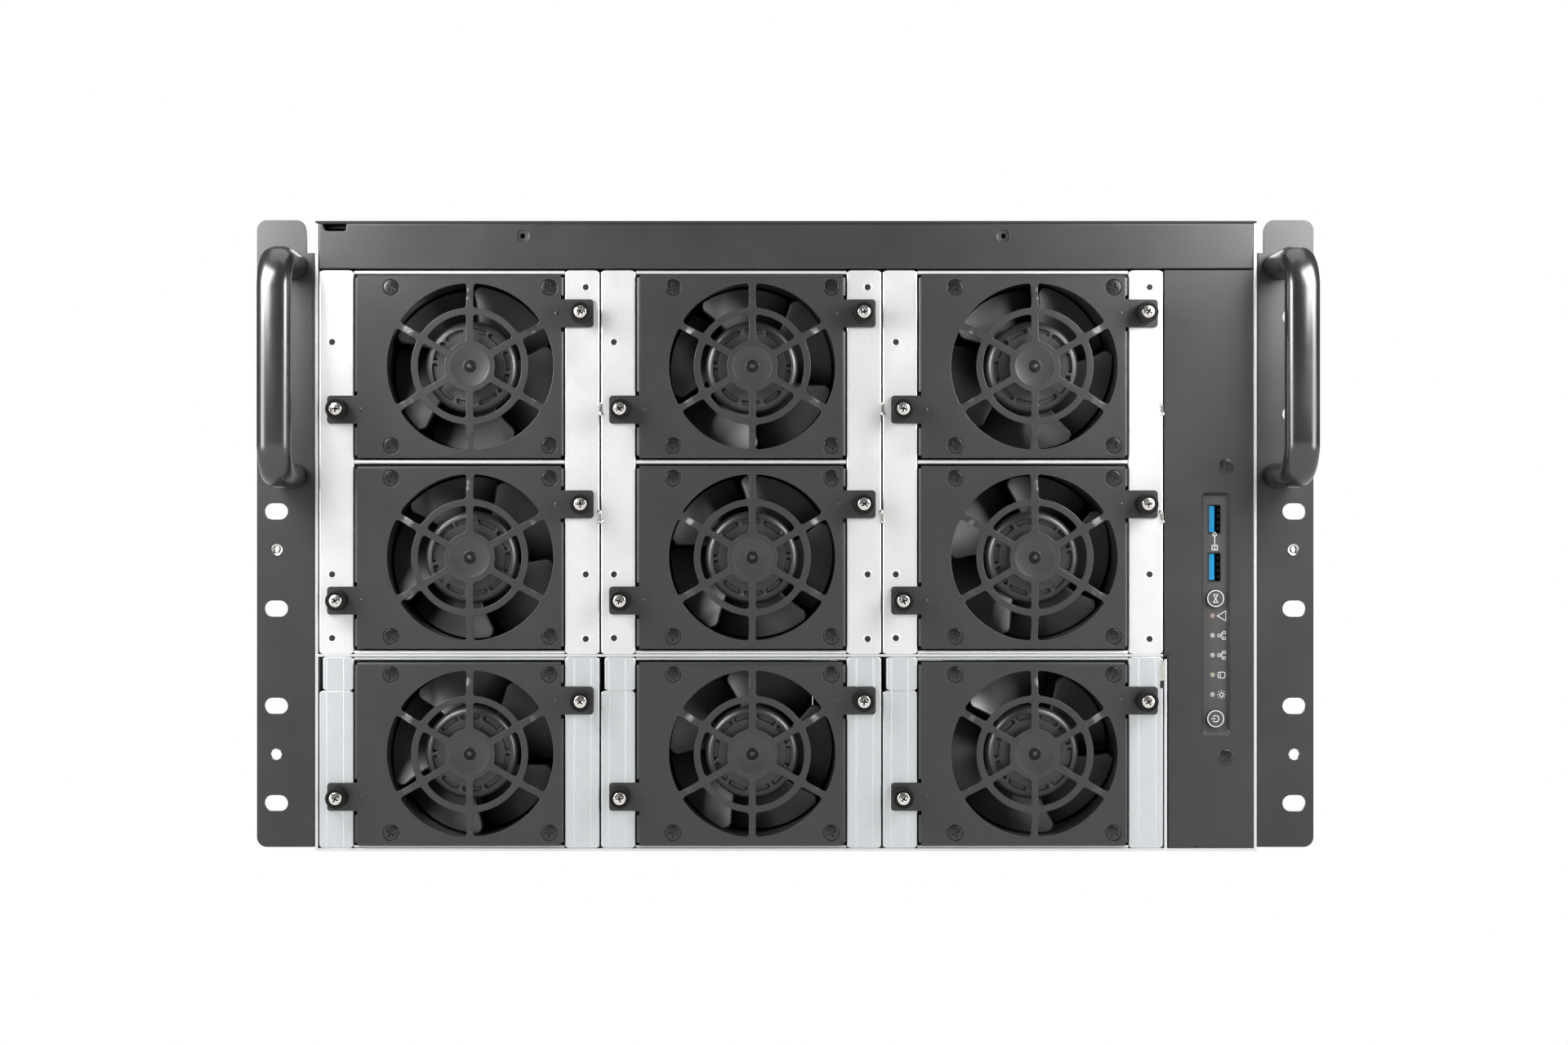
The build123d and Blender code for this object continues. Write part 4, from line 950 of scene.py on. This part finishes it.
def socket_mesh(z):
    """Shell, dark throat, blue tongue and contacts of a socket."""
    x = socket_x
    shell = round_corners(oblong(x, z, 2.85, 6.6), 0.5, 3)
    inside = [(x + (a - x) * 0.9, z + (b - z) * 0.955) for a, b in shell]
    levels = ((shell, -0.25), (inside, -0.25), (shell, 15.0), (inside, 14.0))

    def build(bm):
        front, lip, back, throat = [[bm.verts.new((a, recess_y + depth, b)) for a, b in outline]
                                    for outline, depth in levels]
        skin(bm, (front, lip))
        skin(bm, (front, back))
        skin(bm, (lip, throat), index=1)
        bm.faces.new(throat).material_index = 1
        box(bm, (x - 2.5, recess_y + 0.1, z - 5.9), (x - 0.15, recess_y + 13.9, z + 5.9), 2)
        for level in (z - 4.2, z - 1.4, z + 1.4, z + 4.2):
            box(bm, (x + 1.5, recess_y + 1.5, level - 0.6),
                (x + 2.2, recess_y + 12.0, level + 0.6), 3)
    return mesh_from(build, "socket_shell", screw_black, socket_dark, blue_plastic, screw_black)


@mesh_of("printed_marks", ink_white)
def marks_mesh(bm):
    """Printed marks beside the lights, and the plug sign between the two sockets."""
    x, plug_x = recess_x + 2.9, recess_x - 0.2
    fault_z, *link_z, disk_z, lamp_z = light_heights
    def line(points, width, closed=False):
        ribbon(bm, points, width, recess_y - 0.05, closed)

    line([(plug_x, 136.2), (plug_x, 142.6)], 0.36)
    line(circle(0.75, 20, (plug_x, 143.2)), 0.5, True)
    line(rectangle(plug_x - 1.2, 136.2, plug_x + 1.2, 138.2), 0.36, True)
    line([(x - 1.9, fault_z), (x + 1.9, fault_z - 2.3), (x + 1.9, fault_z + 2.3)], 0.3, True)
    for z in link_z:
        for a, b in ((-1.1, 0.0), (1.2, 1.3), (1.2, -1.3)):
            line(oblong(x + a, z + b, 0.55, 0.55), 0.26, True)
        line([(x - 0.55, z), (x + 0.1, z)], 0.26)
        line([(x + 0.65, z + 1.3), (x + 0.1, z + 1.3), (x + 0.1, z - 1.3), (x + 0.65, z - 1.3)], 0.26)
    line(round_corners(oblong(x, disk_z, 1.6, 1.3), 0.7, 4), 0.3, True)
    line([(x - 0.6, disk_z - 1.3), (x - 0.6, disk_z + 1.3)], 0.26)
    line(circle(0.85, 24, (x, lamp_z)), 0.3, True)
    for a, b in circle(1.0, 8):
        line([(x + 1.35 * a, lamp_z + 1.35 * b), (x + 2.0 * a, lamp_z + 2.0 * b)], 0.26)


def button_mark_mesh(spot_z, power):
    """Ring and sign printed on a button's cap: a power sign or two arrow heads."""
    def build(bm):
        level = recess_y - 1.25
        ribbon(bm, circle(3.62, 64, (recess_x, spot_z)), 0.36, level, True)
        if power:
            ribbon(bm, arc((recess_x, spot_z), 1.45, 218, 502, 30), 0.34, level)
            ribbon(bm, [(recess_x - 1.9, spot_z), (recess_x - 0.1, spot_z)], 0.34, level)
        else:
            for side in (-1, 1):
                ribbon(bm, [(recess_x, spot_z), (recess_x - 0.95, spot_z + side * 1.75),
                            (recess_x + 0.95, spot_z + side * 1.75)], 0.3, level, True)
    return mesh_from(build, "button_mark", ink_white)


add_object("recess_slope", bezel_mesh, "chassis", slot="charcoal")
for n, socket_z in enumerate(socket_heights, start=1):
    socket = add_object(f"socket_{n}", socket_mesh(socket_z), "chassis", slot="steel")
    if n == 1:
        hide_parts("usb_sockets")
add_object("recess_film", film_mesh, "chassis", slot="charcoal")
for name, spot_z in buttons.items():
    add_object(f"{name}_cap", cap_mesh(spot_z), name, slot="button_plastic")
add_object("printed_marks", marks_mesh, "chassis")
for name, spot_z in buttons.items():
    add_object(f"{name}_mark", button_mark_mesh(spot_z, name == "power"), name)
for n, (light_z, surface) in enumerate(zip(light_heights, (lens_red, lens, lens, lens_amber, lens)), start=1):
    place = (recess_x - 1.25, recess_y, light_z)
    add_object(f"lens_{n}", lens_mesh(surface), "chassis", place, slot="light_pipe")
for n, screw_z in enumerate((174.0, 42.3), start=1):
    add_object(f"panel_screw_{n}", black_head, "chassis", (199.0, rail_face, screw_z), 20.0 * n, slot="steel")


# Stage, light and camera

def seen_by(tree, *rays):
    """Output that is 1 for the named kinds of ray and 0 for the others."""
    path = add_node(tree, "LightPath")
    output = path.outputs[rays[0]]
    for ray in rays[1:]:
        either = add_node(tree, "Math", "MAXIMUM")
        tree.links.new(output, either.inputs[0])
        tree.links.new(path.outputs[ray], either.inputs[1])
        output = either.outputs["Value"]
    return output


def stage_material():
    """White to the camera and in reflections, pale to every other ray."""
    made = bpy.data.materials.new("stage_white")
    made.use_nodes = True
    tree = made.node_tree
    tree.nodes.remove(tree.nodes["Principled BSDF"])
    white = add_node(tree, "Emission", Color=(1.0, 1.0, 1.0, 1.0))
    pale = add_node(tree, "BsdfDiffuse", Color=(0.8, 0.8, 0.8, 1.0))
    mix = add_node(tree, "MixShader")
    tree.links.new(seen_by(tree, "Is Camera Ray", "Is Glossy Ray", "Is Transmission Ray"), mix.inputs["Fac"])
    tree.links.new(pale.outputs["BSDF"], mix.inputs[1])
    tree.links.new(white.outputs["Emission"], mix.inputs[2])
    tree.links.new(mix.outputs["Shader"], tree.nodes["Material Output"].inputs["Surface"])
    return made


def build_stage():
    bm = bmesh.new()
    bm.faces.new([bm.verts.new((x, y, -0.0005)) for x, y in rectangle(-4, -4, 4, 4)])
    mesh = bpy.data.meshes.new("floor")
    bm.to_mesh(mesh)
    bm.free()
    mesh.materials.append(stage_material())
    floor = bpy.data.objects.new("floor", mesh)
    bpy.context.scene.collection.objects.link(floor)
    world = bpy.data.worlds.new("studio")
    bpy.context.scene.world = world
    world.use_nodes = True
    tree = world.node_tree
    level = add_node(tree, "MapRange", To_Min=0.14, To_Max=1.0)
    tree.links.new(seen_by(tree, "Is Camera Ray", "Is Transmission Ray"), level.inputs["Value"])
    tree.nodes["Background"].inputs["Color"].default_value = (1.0, 1.0, 1.0, 1.0)
    tree.links.new(level.outputs["Result"], tree.nodes["Background"].inputs["Strength"])


def area_light(name, place, target, size, power):
    """Rectangular lamp at a place in metres, aimed at a target and hidden from the camera."""
    light = bpy.data.lights.new(name, "AREA")
    light.shape = "RECTANGLE"
    light.size, light.size_y = size
    light.energy = power
    lamp = bpy.data.objects.new(name, light)
    bpy.context.scene.collection.objects.link(lamp)
    lamp.visible_camera = False
    lamp.location = place
    lamp.rotation_euler = (Vector(target) - Vector(place)).to_track_quat("-Z", "Y").to_euler()


build_stage()
area_light("corner_left", (-0.345, -0.2, 0.36), (-0.12, 0.0, 0.2), (0.2, 0.2), 2.0)
area_light("corner_right", (0.345, -0.2, 0.36), (0.13, 0.0, 0.2), (0.2, 0.2), 2.0)
area_light("side_left", (-1.0, -0.55, 0.15), (0.0, 0.0, 0.14), (0.4, 0.9), 8.5)
area_light("side_right", (1.0, -0.55, 0.15), (0.0, 0.0, 0.14), (0.4, 0.9), 8.0)
area_light("top_soft", (0.0, 0.4, 1.8), (0.0, 0.3, 0.2), (1.6, 1.6), 12.0)
area_light("rear_soft", (0.3, 2.3, 1.0), (0.0, 0.8, 0.15), (1.5, 1.0), 26.0)

camera = bpy.data.objects.new("photo_view", bpy.data.cameras.new("photo_view"))
bpy.context.scene.collection.objects.link(camera)
camera.data.lens = 50.0
camera.data.sensor_width = 36.0
camera.data.shift_x = 0.0453
camera.data.shift_y = 0.0093
camera.location = (-0.033, -0.9967, 0.142)
camera.rotation_euler = (radians(90), 0.0, 0.0)
bpy.context.scene.camera = camera
bpy.context.scene.view_settings.view_transform = "Standard"
